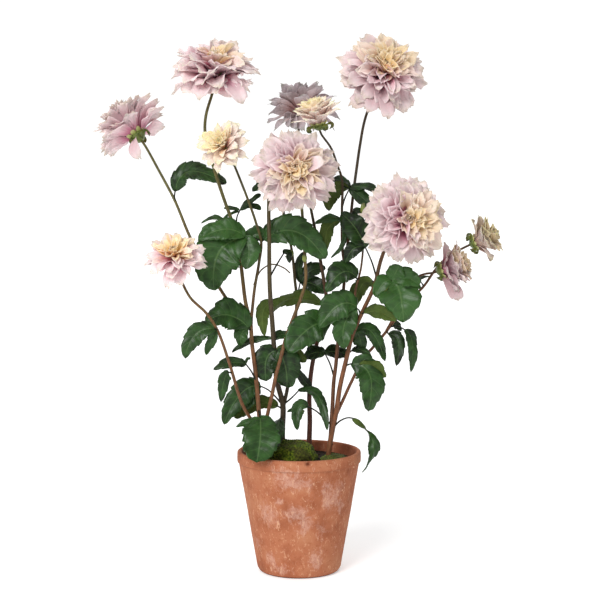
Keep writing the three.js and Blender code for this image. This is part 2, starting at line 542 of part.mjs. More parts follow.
// A head is one closed skin that runs in and out as it climbs from its flat back to its heart:
// out along the underside of a layer, over the thin lip of its petals, and back in to the
// valley under the next layer. The petals of a layer stand in the gaps of the one below.
function headSolid(radius, petals, layers, random) {
  const count = 2 * petals;
  const rings = HEAD_BACK.map(([across, height]) => Array.from({ length: count }, (_, j) => {
    const angle = j * Math.PI / petals;
    return new THREE.Vector3(Math.cos(angle) * across, Math.sin(angle) * across, height);
  }));
  layers.forEach((layer, i) => {
    const lips = [[], [], []];
    for (let j = 0; j < count; j += 1) {
      const isTip = (i + j) % 2 === 0;
      const sway = isTip ? 0.25 * (random() - 0.5) : 0;
      const angle = (j + sway) * Math.PI / petals;
      const outward = new THREE.Vector3(Math.cos(angle), Math.sin(angle), 0);
      const ray = (degrees, reach) => {
        const rise = THREE.MathUtils.degToRad(degrees);
        const level = outward.clone().multiplyScalar(Math.cos(rise) * reach);
        return level.addScaledVector(UP, Math.sin(rise) * reach);
      };
      const length = layer.length * (isTip ? 0.93 + 0.1 * random() : layer.notch);
      const lip = ray(layer.rise + (isTip ? layer.curl + 6 * (random() - 0.5) : 3), length);
      const half = ray(layer.rise + 90, PETAL_THICK / 2 / radius);
      lips[0].push(lip.clone().sub(half));
      lips[1].push(lip.clone().add(half));
      lips[2].push(ray(layer.rise + VALLEY_STEP, VALLEY));
    }
    rings.push(...lips);
  });
  const points = rings.flat();
  const back = points.push(new THREE.Vector3(0, 0, HEAD_BACK[0][1])) - 1;
  const heart = points.push(new THREE.Vector3(0, 0, HEART)) - 1;
  const triangles = [];
  for (let j = 0; j < count; j += 1) {
    const next = (j + 1) % count;
    triangles.push(back, next, j);
    for (let ring = 0; ring < rings.length - 1; ring += 1) {
      const [a, b] = [ring * count + j, ring * count + next];
      triangles.push(a, b, b + count, a, b + count, a + count);
    }
    const top = (rings.length - 1) * count;
    triangles.push(heart, top + j, top + next);
  }
  const geometry = new THREE.BufferGeometry();
  const positions = points.flatMap((point) => point.multiplyScalar(radius).toArray());
  geometry.setAttribute('position', new THREE.Float32BufferAttribute(positions, 3));
  geometry.setIndex(triangles);
  return solidOf(geometry);
}

// A head in its place. Petals that have come loose hang from it.
function bloomSolid(bloom, seed) {
  const { radius } = bloom;
  const layers = radius > SMALL_HEAD ? LAYERS : LAYERS.filter((_, i) => i !== 1);
  const head = placed(headSolid(radius, bloom.petals, layers, seeded(seed)), bloom);
  const loose = bloom.loose.map((tip) => {
    const middle = vector(bloom.centre);
    const root = middle.clone().lerp(vector(tip), 0.25);
    const outward = vector(tip).sub(middle).setZ(0).normalize().addScaledVector(UP, 0.2);
    return petalSolid(root, vector(tip), radius * 0.4, radius * 0.05, outward);
  });
  return joined([head, ...loose]);
}

// The green cup under a head. Its rim runs out into bracts that bend away from the head.
function calyxSolid(bloom, grown) {
  const { radius } = bloom;
  const points = CALYX_PROFILE.map(([across, height]) => new THREE.Vector2(across, height));
  const cup = new THREE.LatheGeometry(points, 2 * BRACTS);
  cup.rotateX(Math.PI / 2);
  const skin = cup.attributes.position;
  for (let i = 0; i < skin.count; i += 1) {
    const onRim = i % points.length === CALYX_RIM;
    const onBract = Math.floor(i / points.length) % 2 === 0;
    const spread = onRim && onBract ? 1.6 : 1;
    const drop = onRim && onBract ? 0.06 : 0;
    const across = Math.hypot(skin.getX(i), skin.getY(i));
    const swell = across > 0 ? spread + grown / (across * radius) : 1;
    const outside = Math.sign(skin.getZ(i) - CALYX_PROFILE[CALYX_RIM][1]) * grown / radius;
    skin.setXYZ(i, skin.getX(i) * swell, skin.getY(i) * swell, skin.getZ(i) - drop + outside);
  }
  cup.scale(radius, radius, radius);
  cup.translate(0, 0, -GAP);
  return placed(solidOf(cup), bloom);
}

// The route of a branch, run on into the cup of its flower along the head's own axis.
function branchPoints(branch) {
  const points = branch.way.map(vector);
  if (branch.end) {
    const bloom = BLOOMS[branch.end];
    const axis = vector(bloom.faces).normalize();
    for (const share of [CALYX_END - 0.12, CALYX_END + 0.1]) {
      points.push(vector(bloom.centre).addScaledVector(axis, share * bloom.radius));
    }
  }
  return points;
}

function stalkSolid(name, grown) {
  const solids = STALKS[name].flatMap((branch) => {
    const [thick, thin] = branch.thick;
    const sides = thick > TWIG_THICK ? STALK_SIDES : TWIG_SIDES;
    const stem = stemSolid(branchPoints(branch), thick + grown, thin + grown, sides, STALK_STEP);
    return branch.end ? [stem, calyxSolid(BLOOMS[branch.end], grown)] : [stem];
  });
  for (const [x, y, z, halfWidth, halfHeight] of BUDS[name]) {
    const bud = new THREE.SphereGeometry(1, 6, 4);
    bud.rotateX(Math.PI / 2);
    bud.scale(halfWidth + grown, halfWidth + grown, halfHeight + grown);
    bud.translate(x, y, z);
    solids.push(solidOf(bud));
  }
  return joined(solids, 0.3);
}

// How wide a leaf is along its length, as a share of its full width: broad near the base, with
// a drawn-out tip, and a coarse tooth at every other row.
function leafWidth(share, row, rows) {
  const body = Math.sin(Math.PI * share ** 0.85) ** 0.62;
  const tooth = row % 2 === 0 && row > 0 && row < rows ? 0.9 : 1;
  return Math.max(body * tooth, 0.06);
}

// A blade bends along its middle rib, its two halves fold up from the rib, and its edge waves.
function bladeSolid([base, bend, tip, width, tilt, turn = 0]) {
  const rib = new THREE.QuadraticBezierCurve3(vector(base), vector(bend), vector(tip));
  const rows = Math.round(THREE.MathUtils.clamp(rib.getLength() / BLADE_STEP, 2, 5));
  const slope = THREE.MathUtils.degToRad(tilt);
  const aside = THREE.MathUtils.degToRad(turn);
  const upward = new THREE.Vector3(
    Math.sin(aside) * Math.cos(slope), -Math.cos(aside) * Math.cos(slope), Math.sin(slope));
  const skin = [];
  for (let row = 0; row <= rows; row += 1) {
    const share = row / rows;
    const along = rib.getTangent(share);
    const side = along.clone().cross(upward).normalize();
    const face = side.clone().cross(along).normalize();
    const half = 0.5 * width * leafWidth(share, row, rows);
    const wave = BLADE_WAVE * width * Math.sin(share * Math.PI) * Math.sin(share * 9);
    const at = (across, height) => rib.getPoint(share)
      .addScaledVector(side, across)
      .addScaledVector(face, height);
    const outline = [[-half, BLADE_FOLD * half + wave], [0, 0], [half, BLADE_FOLD * half - wave]];
    skin.push({
      upper: outline.map(([across, height]) => at(across, height + BLADE_THICK / 2)),
      lower: outline.map(([across, height]) => at(across, height - BLADE_THICK / 2)),
    });
  }
  return skinSolid(skin);
}

function leafSolid(leaf) {
  const petiole = stemSolid(leaf.petiole.map(vector), ...PETIOLE_THICK, PETIOLE_SIDES, PETIOLE_STEP);
  return joined([petiole, ...leaf.blades.map(bladeSolid)], 0.3);
}

const clearance = {};
for (const name of Object.keys(STALKS)) {
  clearance[name] = stalkSolid(name, GAP + 0.05);
}
const allStalks = joined(Object.values(clearance));

addMesh('pot', potSolid(), COLOURS.clay, 0.9);
addMesh('soil', soilSolid().subtract(allStalks), COLOURS.earth, 1);
for (const [name, pad] of Object.entries(MOSS)) {
  const moss = mossSolid(pad.centre, pad.spread, pad.height, pad.facets, pad.seed);
  addMesh(name, moss.subtract(allStalks), COLOURS.moss, 1);
}

for (const name of Object.keys(STALKS)) {
  addMesh(name, stalkSolid(name, 0), COLOURS.stem, 0.6);
}

Object.entries(BLOOMS).forEach(([name, bloom], i) => {
  addMesh(`bloom_${name}`, bloomSolid(bloom, 101 + i), bloom.colour, 0.75);
});

for (const [name, leaf] of Object.entries(LEAVES)) {
  addMesh(`leaf_${name}`, leafSolid(leaf).subtract(clearance[leaf.on]), COLOURS.leaf, 0.45);
}

export default plant;
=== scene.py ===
import math
import random

import bmesh
import bpy
from mathutils import Matrix, Vector, noise


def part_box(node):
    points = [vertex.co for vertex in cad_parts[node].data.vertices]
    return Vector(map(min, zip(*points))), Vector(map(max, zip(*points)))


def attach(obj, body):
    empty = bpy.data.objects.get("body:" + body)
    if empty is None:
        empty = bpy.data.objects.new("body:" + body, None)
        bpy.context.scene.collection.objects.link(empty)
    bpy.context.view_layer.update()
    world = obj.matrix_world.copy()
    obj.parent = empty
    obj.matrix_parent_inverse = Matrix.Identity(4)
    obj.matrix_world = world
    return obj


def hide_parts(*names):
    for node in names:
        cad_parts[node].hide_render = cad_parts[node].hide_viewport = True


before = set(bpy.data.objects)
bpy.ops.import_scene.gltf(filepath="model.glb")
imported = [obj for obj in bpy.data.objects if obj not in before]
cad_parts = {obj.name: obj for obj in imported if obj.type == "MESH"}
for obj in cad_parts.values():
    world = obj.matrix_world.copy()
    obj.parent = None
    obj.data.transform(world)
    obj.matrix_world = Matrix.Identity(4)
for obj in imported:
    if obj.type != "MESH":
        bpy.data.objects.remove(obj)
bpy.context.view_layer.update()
MM = 0.001


# The studio: a matte white board for a floor, a white wall that lights the plant from behind, dark
# flags at both sides that shade its edges, and one large soft window at the front left, above.
def linear(colour):
    """An sRGB hex colour as linear red, green, blue and alpha."""
    channels = [int(colour[i:i + 2], 16) / 255 for i in (1, 3, 5)]
    return [c / 12.92 if c <= 0.04045 else ((c + 0.055) / 1.055) ** 2.4 for c in channels] + [1]


def plug(node, inputs):
    """Sets inputs of a node to values, or links them to sockets or to the main output of nodes."""
    for name, value in inputs.items():
        if isinstance(value, bpy.types.Node):
            value = next(socket for socket in value.outputs if socket.enabled)
        if isinstance(value, bpy.types.NodeSocket):
            node.id_data.links.new(value, node.inputs[name])
        else:
            node.inputs[name].default_value = value


def add_node(tree, kind, inputs=None, stops=(), **settings):
    """Adds a shader node: its settings, its inputs, and the stops of a colour ramp."""
    node = tree.nodes.new("ShaderNode" + kind)
    for name, value in settings.items():
        setattr(node, name, value)
    plug(node, inputs or {})
    for i, (place, colour) in enumerate(stops):
        points = node.color_ramp.elements
        point = points[i] if i < 2 else points.new(place)
        point.position = place
        point.color = linear(colour)
    return node


def start_material(name, values):
    """A material with its shader's own values set. Returns it, its tree and its shader."""
    material = bpy.data.materials.new(name)
    material.use_nodes = True
    shader = material.node_tree.nodes["Principled BSDF"]
    plug(shader, values)
    return material, material.node_tree, shader


CAMERA_PLACE = Vector((0.0015, -2.6, 0.68))
CAMERA_AIM = Vector((0.0015, 0, 0.448))
CAMERA_LENS = 95.8
WINDOW_FROM = Vector((-0.9, -1.8, 1.25))
WINDOW_ANGLE = math.radians(28)
WINDOW_POWER = 2.1
WALL_POWER = (0.73, 1.08)
FLAG_SHADE = 0.46
BOARD_GLOW = 0.34
BOARD_SIZE = 30

bpy.context.scene.view_settings.view_transform = "Standard"
camera = bpy.data.objects.new("camera", bpy.data.cameras.new("camera"))
bpy.context.collection.objects.link(camera)
camera.location = CAMERA_PLACE
camera.rotation_euler = (CAMERA_AIM - CAMERA_PLACE).to_track_quat("-Z", "Y").to_euler()
camera.data.lens = CAMERA_LENS
camera.data.sensor_width = 36
bpy.context.scene.camera = camera

window = bpy.data.objects.new("window", bpy.data.lights.new("window", "SUN"))
bpy.context.collection.objects.link(window)
window.rotation_euler = (-WINDOW_FROM).to_track_quat("-Z", "Y").to_euler()
window.data.angle = WINDOW_ANGLE
window.data.energy = WINDOW_POWER

sky = bpy.data.worlds.new("sky")
sky.use_nodes = True
# The wall is brighter than the room in front of it, and looks white from every side.
room = add_node(sky.node_tree, "TexCoord").outputs["Generated"]
way = add_node(sky.node_tree, "SeparateXYZ", {"Vector": room}).outputs
glow = add_node(sky.node_tree, "MapRange", {
    "Value": way["Y"], "From Min": 0.3, "From Max": 0.7, "To Min": WALL_POWER[0],
    "To Max": WALL_POWER[1]})
aside = add_node(sky.node_tree, "Math", {0: way["X"]}, operation="ABSOLUTE")
flags = add_node(sky.node_tree, "MapRange", {
    "Value": aside, "From Min": 0.4, "From Max": 0.85, "To Max": FLAG_SHADE})
shaded = add_node(sky.node_tree, "Math", {0: glow, 1: flags}, operation="SUBTRACT")
seen = add_node(sky.node_tree, "LightPath").outputs["Is Camera Ray"]
wall = add_node(sky.node_tree, "Math", {0: shaded, 1: seen}, operation="MAXIMUM")
plug(sky.node_tree.nodes["Background"], {"Color": linear("#FFFFFF"), "Strength": wall})
bpy.context.scene.world = sky

board, _, _ = start_material("white board", {
    "Base Color": linear("#F6F6F6"), "Roughness": 0.9, "Emission Color": linear("#FFFFFF"),
    "Emission Strength": BOARD_GLOW})
# Painted board, matte and nearly white, lit from below enough to keep its shadows faint.
bm = bmesh.new()
bmesh.ops.create_grid(bm, x_segments=1, y_segments=1, size=BOARD_SIZE)
floor = bpy.data.objects.new("floor", bpy.data.meshes.new("floor"))
bm.to_mesh(floor.data)
bm.free()
floor.data.materials.append(board)
bpy.context.collection.objects.link(floor)


# The pot: earthenware thrown on a wheel and fired unglazed, with a low plain band at its rim.
# Watering has left pale lime on it. Its rim is chipped, and painted shade darkens its foot and its
# inside.
def add_piece(name, bm, materials, nodes):
    """Makes a mesh a piece of the plant, which stands for CAD nodes and rides with them."""
    mesh = bpy.data.meshes.new(name)
    bm.to_mesh(mesh)
    bm.free()
    mesh.shade_smooth()
    for material in materials:
        mesh.materials.append(material)
    piece = bpy.data.objects.new(name, mesh)
    bpy.context.collection.objects.link(piece)
    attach(piece, "root")
    if nodes:
        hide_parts(*nodes)
    return piece


RIM_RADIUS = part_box("pot")[1].x
POT_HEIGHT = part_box("pot")[1].z
FOOT_RADIUS = 68 * MM
WALL = 9 * MM
RIM_BAND = 18.5 * MM
RIM_STEP = 3.2 * MM
FOOT_BEND = 7 * MM
POT_FLOOR = 12 * MM
POT_TURNS = 256
POT_ROWS = 44
# Out from the foot's edge and up, and out from the rim's edge and up from its top, in millimetres.
FOOT_CURVE = [(-68, 0), (-7, 0), (-4, 0.8), (-2, 2.2), (-1.4, 3.2)]
RIM_CURVE = [(-1.2, -17.9), (-0.3, -16.7), (-0.2, -11.5), (-0.2, -11), (-0.2, -9), (-0.2, -7),
             (-0.2, -5), (-0.2, -3.6), (-1, -2), (-3, -0.3), (-5.5, -0.3), (-8, -1.5), (-9, -4),
             (-12, -22)]
CHIP = Vector((14 * MM, -RIM_RADIUS, POT_HEIGHT - 3 * MM))
CHIP_SIZE = 4.2 * MM
CHIP_DENT = Vector((0, 2.2, -1.6)) * MM
# How high the band of painted shade at the foot reaches.
SHADED_FOOT_HEIGHT = 2.5 * MM
# Places and sizes of the lime, in millimetres.
LIME_STAINS = [
    (43, -85, 156, 9), (50, -78, 138, 9), (53, -74, 124, 10), (-53, -70, 112, 12),
    (-44, -76, 98, 11), (6, -83, 82, 8), (14, -86, 96, 8), (38, -74, 82, 8), (-26, -95, 174, 15),
    (-6, -97, 170, 12), (10, -96, 162, 9), (-32, -86, 133, 6), (2, -89, 114, 12),
    (-14, -86, 112, 9), (-46, -59, 30, 9), (-68, -39, 53, 8), (-28, -67, 14, 10), (24, -70, 40, 9),
    (30, -66, 24, 9), (70, -60, 120, 10), (62, -66, 150, 9), (-60, 70, 130, 18), (20, 90, 110, 22),
    (80, 20, 80, 16), (-85, 10, 90, 14), (-20, 80, 60, 16),
]
STAIN_SPREAD = 1.35


def pot_radius(height):
    """How wide the pot is outside at a height, below its rim band."""
    share = height / (POT_HEIGHT - RIM_BAND)
    return FOOT_RADIUS + (RIM_RADIUS - RIM_STEP - FOOT_RADIUS) * share


def pot_profile():
    """The outline of the wall, from the middle of the foot over the rim to the floor inside."""
    band = POT_HEIGHT - RIM_BAND
    heights = [FOOT_BEND + (band - FOOT_BEND) * i / POT_ROWS for i in range(1, POT_ROWS)]
    points = [(FOOT_RADIUS + out * MM, up * MM) for out, up in FOOT_CURVE]
    points += [(pot_radius(FOOT_BEND) - 0.2 * MM, FOOT_BEND)]
    points += [(pot_radius(height), height) for height in heights]
    points += [(pot_radius(band) - 0.4 * MM, band)]
    points += [(RIM_RADIUS + out * MM, POT_HEIGHT + up * MM) for out, up in RIM_CURVE]
    return points + [(pot_radius(POT_FLOOR) - WALL, POT_FLOOR), (0, POT_FLOOR)]


terracotta, tree, shader = start_material(
    "weathered terracotta", {"Roughness": 0.88, "Specular IOR Level": 0.25})
# Fired red clay, mottled over 30 mm and grained like sandpaper, with crusts of pinkish lime,
# upright scratches and dark grit of about 2 mm, and dark red where it is chipped. The same dark
# red is painted shade along its foot and inside it.
coords = add_node(tree, "TexCoord").outputs["Object"]
mottle = add_node(tree, "TexNoise", {"Vector": coords, "Scale": 22, "Detail": 6, "Roughness": 0.6})
clay = add_node(tree, "ValToRGB", {"Fac": mottle}, stops=[
    (0.3, "#8A4D32"), (0.5, "#A46446"), (0.7, "#B07656")])
stains_and_shade = add_node(tree, "Attribute", attribute_name="wear_and_shade")
wear_and_shade = add_node(tree, "SeparateColor", {"Color": stains_and_shade}).outputs
cloud = add_node(tree, "TexNoise", {
    "Vector": coords, "Scale": 60, "Detail": 15, "Roughness": 0.78, "Distortion": 0.7})
worn = add_node(tree, "Math", {0: wear_and_shade["Red"], 1: 0.25, 2: -0.5}, operation="MULTIPLY_ADD")
crusted = add_node(tree, "Math", {0: worn, 1: cloud}, operation="ADD")
streaks = add_node(tree, "Mapping", {"Vector": coords, "Scale": (1, 1, 0.45)})
scratch = add_node(tree, "TexNoise", {
    "Vector": streaks, "Scale": 190, "Detail": 8, "Roughness": 0.8,
    "Distortion": 1})
flaked = add_node(tree, "Math", {0: scratch, 1: 0.9, 2: crusted}, operation="MULTIPLY_ADD")
lime = add_node(tree, "ValToRGB", {"Fac": flaked}, stops=[
    (0.55, "#000000"), (0.61, "#5C5C5C"), (0.78, "#A2A2A2")])
limed = add_node(tree, "Mix", {0: lime, 6: clay, 7: linear("#D4B2A4")}, data_type="RGBA")
scratched = add_node(tree, "ValToRGB", {"Fac": scratch}, stops=[
    (0.56, "#000000"), (0.61, "#C0C0C0")])
brushed = add_node(tree, "Mix", {0: scratched, 6: limed, 7: linear("#D9AA86")}, data_type="RGBA")
grit = add_node(tree, "TexNoise", {"Vector": coords, "Scale": 240, "Detail": 4})
specks = add_node(tree, "ValToRGB", {"Fac": grit}, stops=[(0.6, "#000000"), (0.66, "#B8B8B8")])
speckled = add_node(tree, "Mix", {0: specks, 6: brushed, 7: linear("#8A4A2C")}, data_type="RGBA")
# Dark red where the rim is chipped, and the same dark red as painted shade at the foot and inside.
chipped_and_shaded = add_node(tree, "Mix", {
    0: wear_and_shade["Green"], 6: speckled, 7: linear("#5E2C18")}, data_type="RGBA")
grain = add_node(tree, "TexNoise", {"Vector": coords, "Scale": 700, "Detail": 3})
bump = add_node(tree, "Bump", {"Height": grain, "Strength": 0.25, "Distance": 0.4 * MM})
crust = add_node(tree, "Bump", {
    "Height": cloud, "Strength": 0.4, "Distance": 1.6 * MM,
    "Normal": bump})
plug(shader, {"Base Color": chipped_and_shaded, "Normal": crust})

bm = bmesh.new()
outline = [bm.verts.new((radius, 0, height)) for radius, height in pot_profile()]
edges = [bm.edges.new(pair) for pair in zip(outline, outline[1:])]
bmesh.ops.spin(bm, geom=outline + edges, axis=(0, 0, 1), cent=(0, 0, 0), angle=2 * math.pi,
               steps=POT_TURNS, use_merge=True)
bmesh.ops.remove_doubles(bm, verts=bm.verts, dist=0.01 * MM)
marks = bm.verts.layers.float_color.new("wear_and_shade")
for vert in bm.verts:
    if vert.co.xy.length > 10 * MM and vert.co.z > 3 * MM:
        wobble = noise.noise(vert.co * 14) * 0.5 * MM + noise.noise(vert.co * 90) * 0.15 * MM
        wobble -= 0.6 * MM * (vert.co.xy.length > RIM_RADIUS - 1 * MM)
        vert.co.xy *= 1 + wobble / vert.co.xy.length
    stain = 0
    for x, y, z, size in LIME_STAINS:
        away = (vert.co - Vector((x, y, z)) * MM).length
        stain += math.exp(-(away / (STAIN_SPREAD * size * MM)) ** 2)
    chipped = math.exp(-((vert.co - CHIP).length / CHIP_SIZE) ** 2)
    above_floor = vert.co.xy.length < RIM_RADIUS - 8 * MM and vert.co.z > POT_FLOOR + 1 * MM
    inside = above_floor and vert.co.xy.length < pot_radius(vert.co.z) - 5 * MM
    # Painted shade: a dark band at the foot, where the pot meets the board, and a lighter one
    # inside.
    foot_and_inside_shade = 0.9 if vert.co.z < SHADED_FOOT_HEIGHT else 0.55 if inside else 0
    vert[marks] = (min(stain, 1), max(min(1.3 * chipped, 1), foot_and_inside_shade), 0, 1)
    vert.co += CHIP_DENT * chipped * (1 + 0.5 * noise.noise(vert.co * 400))
bmesh.ops.recalc_face_normals(bm, faces=bm.faces)
add_piece("fired_pot", bm, [terracotta], ["pot"])


# The soil: dark peat and chopped bark, watered level and settled 15 mm under the rim. Its top
# is loose crumbs from 2 to 7 mm.
SOIL_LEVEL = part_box("soil")[1].z
SOIL_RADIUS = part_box("soil")[1].x - 0.2 * MM
CRUMBS = 900

peat, tree, shader = start_material("peat and bark", {"Roughness": 0.95, "Specular IOR Level": 0.2})
# Nearly black when damp, with brown bark; the colour changes from crumb to crumb.
coords = add_node(tree, "TexCoord").outputs["Object"]
bark = add_node(tree, "TexNoise", {"Vector": coords, "Scale": 160, "Detail": 5})
earth = add_node(tree, "ValToRGB", {"Fac": bark}, stops=[
    (0.35, "#15110D"), (0.55, "#33271C"), (0.75, "#5A4630")])
bump = add_node(tree, "Bump", {"Height": bark, "Strength": 0.7, "Distance": 1.5 * MM})
plug(shader, {"Base Color": earth, "Normal": bump})

bm = bmesh.new()
bmesh.ops.create_cone(bm, cap_ends=True, segments=64, radius1=SOIL_RADIUS - 24 * MM,
                      radius2=SOIL_RADIUS - 1 * MM, depth=SOIL_LEVEL - 20 * MM,
                      matrix=Matrix.Translation((0, 0, (SOIL_LEVEL + 16 * MM) / 2)))
rng = random.Random(5)
for _ in range(CRUMBS):
    reach = (SOIL_RADIUS - 5 * MM) * math.sqrt(rng.random())
    angle = rng.uniform(0, 2 * math.pi)
    size = rng.uniform(1, 3) * MM
    place = Vector((reach * math.cos(angle), reach * math.sin(angle), SOIL_LEVEL - 2.5 * MM))
    turn = Matrix.Rotation(rng.uniform(0, 6), 4, "X") @ Matrix.Rotation(rng.uniform(0, 6), 4, "Z")
    shape = Matrix.Diagonal((size, size * rng.uniform(0.5, 1), size * rng.uniform(0.3, 0.7), 1))
    bmesh.ops.create_icosphere(bm, subdivisions=1, radius=1,
                               matrix=Matrix.Translation(place) @ turn @ shape)
add_piece("soil_bed", bm, [peat], ["soil"])


# The moss: cushions of cushion moss laid on the soil. Each is a soft dome with a pile of short
# leafy shoots, yellow-green where they grow and brown where they have died back.
MOSS_BEDS = {
    "moss_cushion": {"centre": (-13, 2), "spread": (43, 52), "height": 30, "rings": 44, "seed": 7,
                     "dry": (3, -38, 14)},
    "moss_patch": {"centre": (58, -14), "spread": (22, 36), "height": 7, "rings": 26, "seed": 21,
                   "dry": (50, -20, 24)},
}
SHOOT_LENGTH = 2.6 * MM

moss_green, tree, shader = start_material(
    "cushion moss", {"Roughness": 0.95, "Sheen Weight": 0.05, "Specular IOR Level": 0.1})
# Fine shoots: bright yellow-green tips over dark green, with brown patches 15 mm wide.
coords = add_node(tree, "TexCoord").outputs["Object"]
tips = add_node(tree, "TexNoise", {"Vector": coords, "Scale": 260, "Detail": 3})
green = add_node(tree, "ValToRGB", {"Fac": tips}, stops=[
    (0.35, "#2B3610"), (0.5, "#55681A"), (0.68, "#8A9430")])
dead = add_node(tree, "TexNoise", {"Vector": coords, "Scale": 38, "Detail": 4})
dry = add_node(tree, "Attribute", attribute_name="dry").outputs["Fac"]
dying = add_node(tree, "Math", {0: dead, 1: dry}, operation="ADD")
brown = add_node(tree, "ValToRGB", {"Fac": dying}, stops=[(0.5, "#000000"), (0.6, "#C8C8C8")])
mixed = add_node(tree, "Mix", {0: brown, 6: green, 7: linear("#4A4028")}, data_type="RGBA")
plug(shader, {"Base Color": mixed})

for name, bed in MOSS_BEDS.items():
    rng = random.Random(bed["seed"])
    centre = Vector((*bed["centre"], 0)) * MM + Vector((0, 0, SOIL_LEVEL))
    spread = Vector((*bed["spread"], bed["height"])) * MM
    bm = bmesh.new()
    bmesh.ops.create_uvsphere(bm, u_segments=3 * bed["rings"], v_segments=bed["rings"], radius=1)
    bmesh.ops.bisect_plane(bm, geom=bm.verts[:] + bm.edges[:] + bm.faces[:], plane_co=(0, 0, 0),
                           plane_no=(0, 0, -1), clear_outer=True)
    for vert in bm.verts:
        swell = 0.95 + 0.12 * noise.noise(vert.co * 2.1 + centre * 50)
        lift = max(vert.co.z, 0) ** 0.75
        vert.co = Vector((vert.co.x * swell, vert.co.y * swell, lift * swell - 0.02))
        vert.co = Vector(a * b for a, b in zip(vert.co, spread)) + centre
        vert.co += Vector([rng.uniform(-0.5, 0.5) for _ in range(3)]) * MM
    turf = bm.faces[:]
    bmesh.ops.holes_fill(bm, edges=[edge for edge in bm.edges if edge.is_boundary])
    bmesh.ops.recalc_face_normals(bm, faces=bm.faces)
    shoots = bmesh.ops.poke(bm, faces=turf, offset=SHOOT_LENGTH)["verts"]
    for vert in shoots:
        vert.co += Vector([rng.uniform(-1.3, 1.3) for _ in range(3)]) * MM
    dry = bm.verts.layers.float.new("dry")
    x, y, reach = bed["dry"]
    for vert in bm.verts:
        away = (vert.co.xy - Vector((x, y)) * MM).length / (reach * MM)
        vert[dry] = 0.2 * math.exp(-away ** 2)
    add_piece(f"{name}_shoots", bm, [moss_green], [name])


# The stalks: four fleshy stems that root in the soil and fork, thick and red-brown low down and
# olive near the flowers. They are round, with a slight swelling where each branch leaves.
STALK_FOOT = 158
# Thick is the radius where a branch starts and where it ends, way its route, both in millimetres,
# end the head that it carries, and dark how much darker it is than its stalk.
STALKS = {
    "stalk_left": [
        {"end": "top_left", "thick": (3.9, 2.3), "way": [
            (-59, -15, STALK_FOOT), (-59, -15, 191), (-65, -18, 258), (-68, -15, 298),
            (-72, -12, 336), (-77, -8, 378), (-80, -5, 416), (-87, -2, 442), (-96, 2, 512),
            (-109, 6, 574), (-122, 9, 611), (-140, 14, 666), (-153, 17, 718), (-152, 18, 747)]},
        {"end": "cream_left", "dark": 0.45, "thick": (2.6, 1.8), "way": [
            (-79, -6, 406), (-76, -14, 435), (-72, -20, 469), (-65, -24, 509), (-61, -26, 544),
            (-69, -34, 575), (-82, -46, 614)]},
        {"end": "left_side", "thick": (2.9, 2), "way": [
            (-80, -6, 411), (-97, -2, 428), (-116, 5, 446), (-148, 17, 496), (-178, 30, 546),
            (-205, 44, 608), (-234, 58, 661)]},
        {"end": "left_low", "thick": (2.9, 2), "way": [
            (-64, -19, 236), (-80, -27, 258), (-93, -36, 284), (-112, -58, 352),
            (-130, -76, 407), (-147, -86, 435), (-172, -94, 461)]},
        {"end": "centre", "thick": (3.2, 2.4), "way": [
            (-61, -17, 219), (-52, -20, 260), (-44, -22, 295), (-38, -20, 325), (-31, -16, 351),
            (-21, -8, 388), (-7, -1, 425), (3, 3, 451), (11, 6, 480), (10, 10, 510),
            (8, 12, 546), (6, 4, 577), (3, -10, 608)]},
        {"thick": (1.3, 1.1), "way": [
            (-73, -20, 474), (-68, -14, 488), (-60, -5, 499), (-44, 8, 506), (-25, 22, 499),
            (-15, 32, 490)]},
    ],
    "stalk_back_left": [
        {"end": "back", "thick": (5.2, 2), "way": [
            (-28, 35, STALK_FOOT), (-28, 35, 188), (-28, 35, 227), (-27, 34, 269),
            (-35, 26, 304), (-38, 16, 334), (-41, 5, 368), (-44, -8, 416), (-47, -18, 459),
            (-48, -28, 499), (-48, -34, 556), (-49, -20, 592), (-48, 15, 635), (-40, 50, 668)]},
        {"thick": (3.2, 1.9), "way": [
            (-27, 35, 266), (-20, 36, 294), (-12, 40, 361), (-4, 46, 444), (-7, 45, 476),
            (-12, 40, 526), (-22, 30, 574), (-30, 20, 614)]},
    ],
    "stalk_back": [
        {"thick": (4.6, 2.3), "way": [
            (17, 45, STALK_FOOT), (17, 45, 188), (17, 45, 208), (18, 46, 242), (17, 46, 276),
            (19, 46, 313), (25, 44, 352), (35, 42, 394), (45, 38, 445), (41, 34, 477),
            (33, 28, 523), (26, 22, 563), (18, 14, 603)]},
    ],
    "stalk_right": [
        {"end": "right", "thick": (4.4, 2.8), "way": [
            (48, -5, STALK_FOOT), (48, -5, 189), (54, -5, 229), (61, -6, 264), (67, -8, 306),
            (78, -10, 355), (87, -12, 392), (104, -16, 432), (122, -22, 473), (132, -28, 515)]},
        {"end": "cream_top", "dark": 0.4, "thick": (3.6, 1.7), "way": [
            (51, -4, 209), (53, -1, 242), (55, 2, 274), (57, 6, 312), (60, 8, 335),
            (64, 12, 378), (71, 17, 443), (75, 19, 496), (71, 17, 532), (70, 11, 595),
            (70, 6, 644), (62, 3, 668), (52, -1, 695)]},
        {"end": "top_right", "dark": 0.35, "thick": (2.7, 2.1), "way": [
            (75, 19, 493), (79, 24, 528), (85, 33, 581), (89, 41, 617), (96, 51, 668),
            (101, 58, 701), (109, 66, 742)]},
        {"end": "right_end", "thick": (2.8, 1.9), "way": [
            (61, -5, 261), (71, 1, 280), (82, 8, 303), (94, 14, 327), (106, 18, 350),
            (121, 22, 366), (145, 28, 394), (162, 32, 417), (194, 40, 454), (207, 43, 467),
            (232, 48, 501), (259, 53, 522)]},
        {"end": "right_low", "thick": (2.2, 1.7), "way": [
            (145, 28, 394), (166, 20, 438), (179, 12, 467), (191, 4, 484), (205, -4, 491)]},
        {"thick": (2, 1.4), "way": [
            (96, -14, 417), (92, -6, 442), (92, 0, 463), (96, 0, 479), (101, 1, 500),
            (104, 3, 526), (106, 5, 559), (109, 4, 583), (106, 0, 592)]},
    ],
}
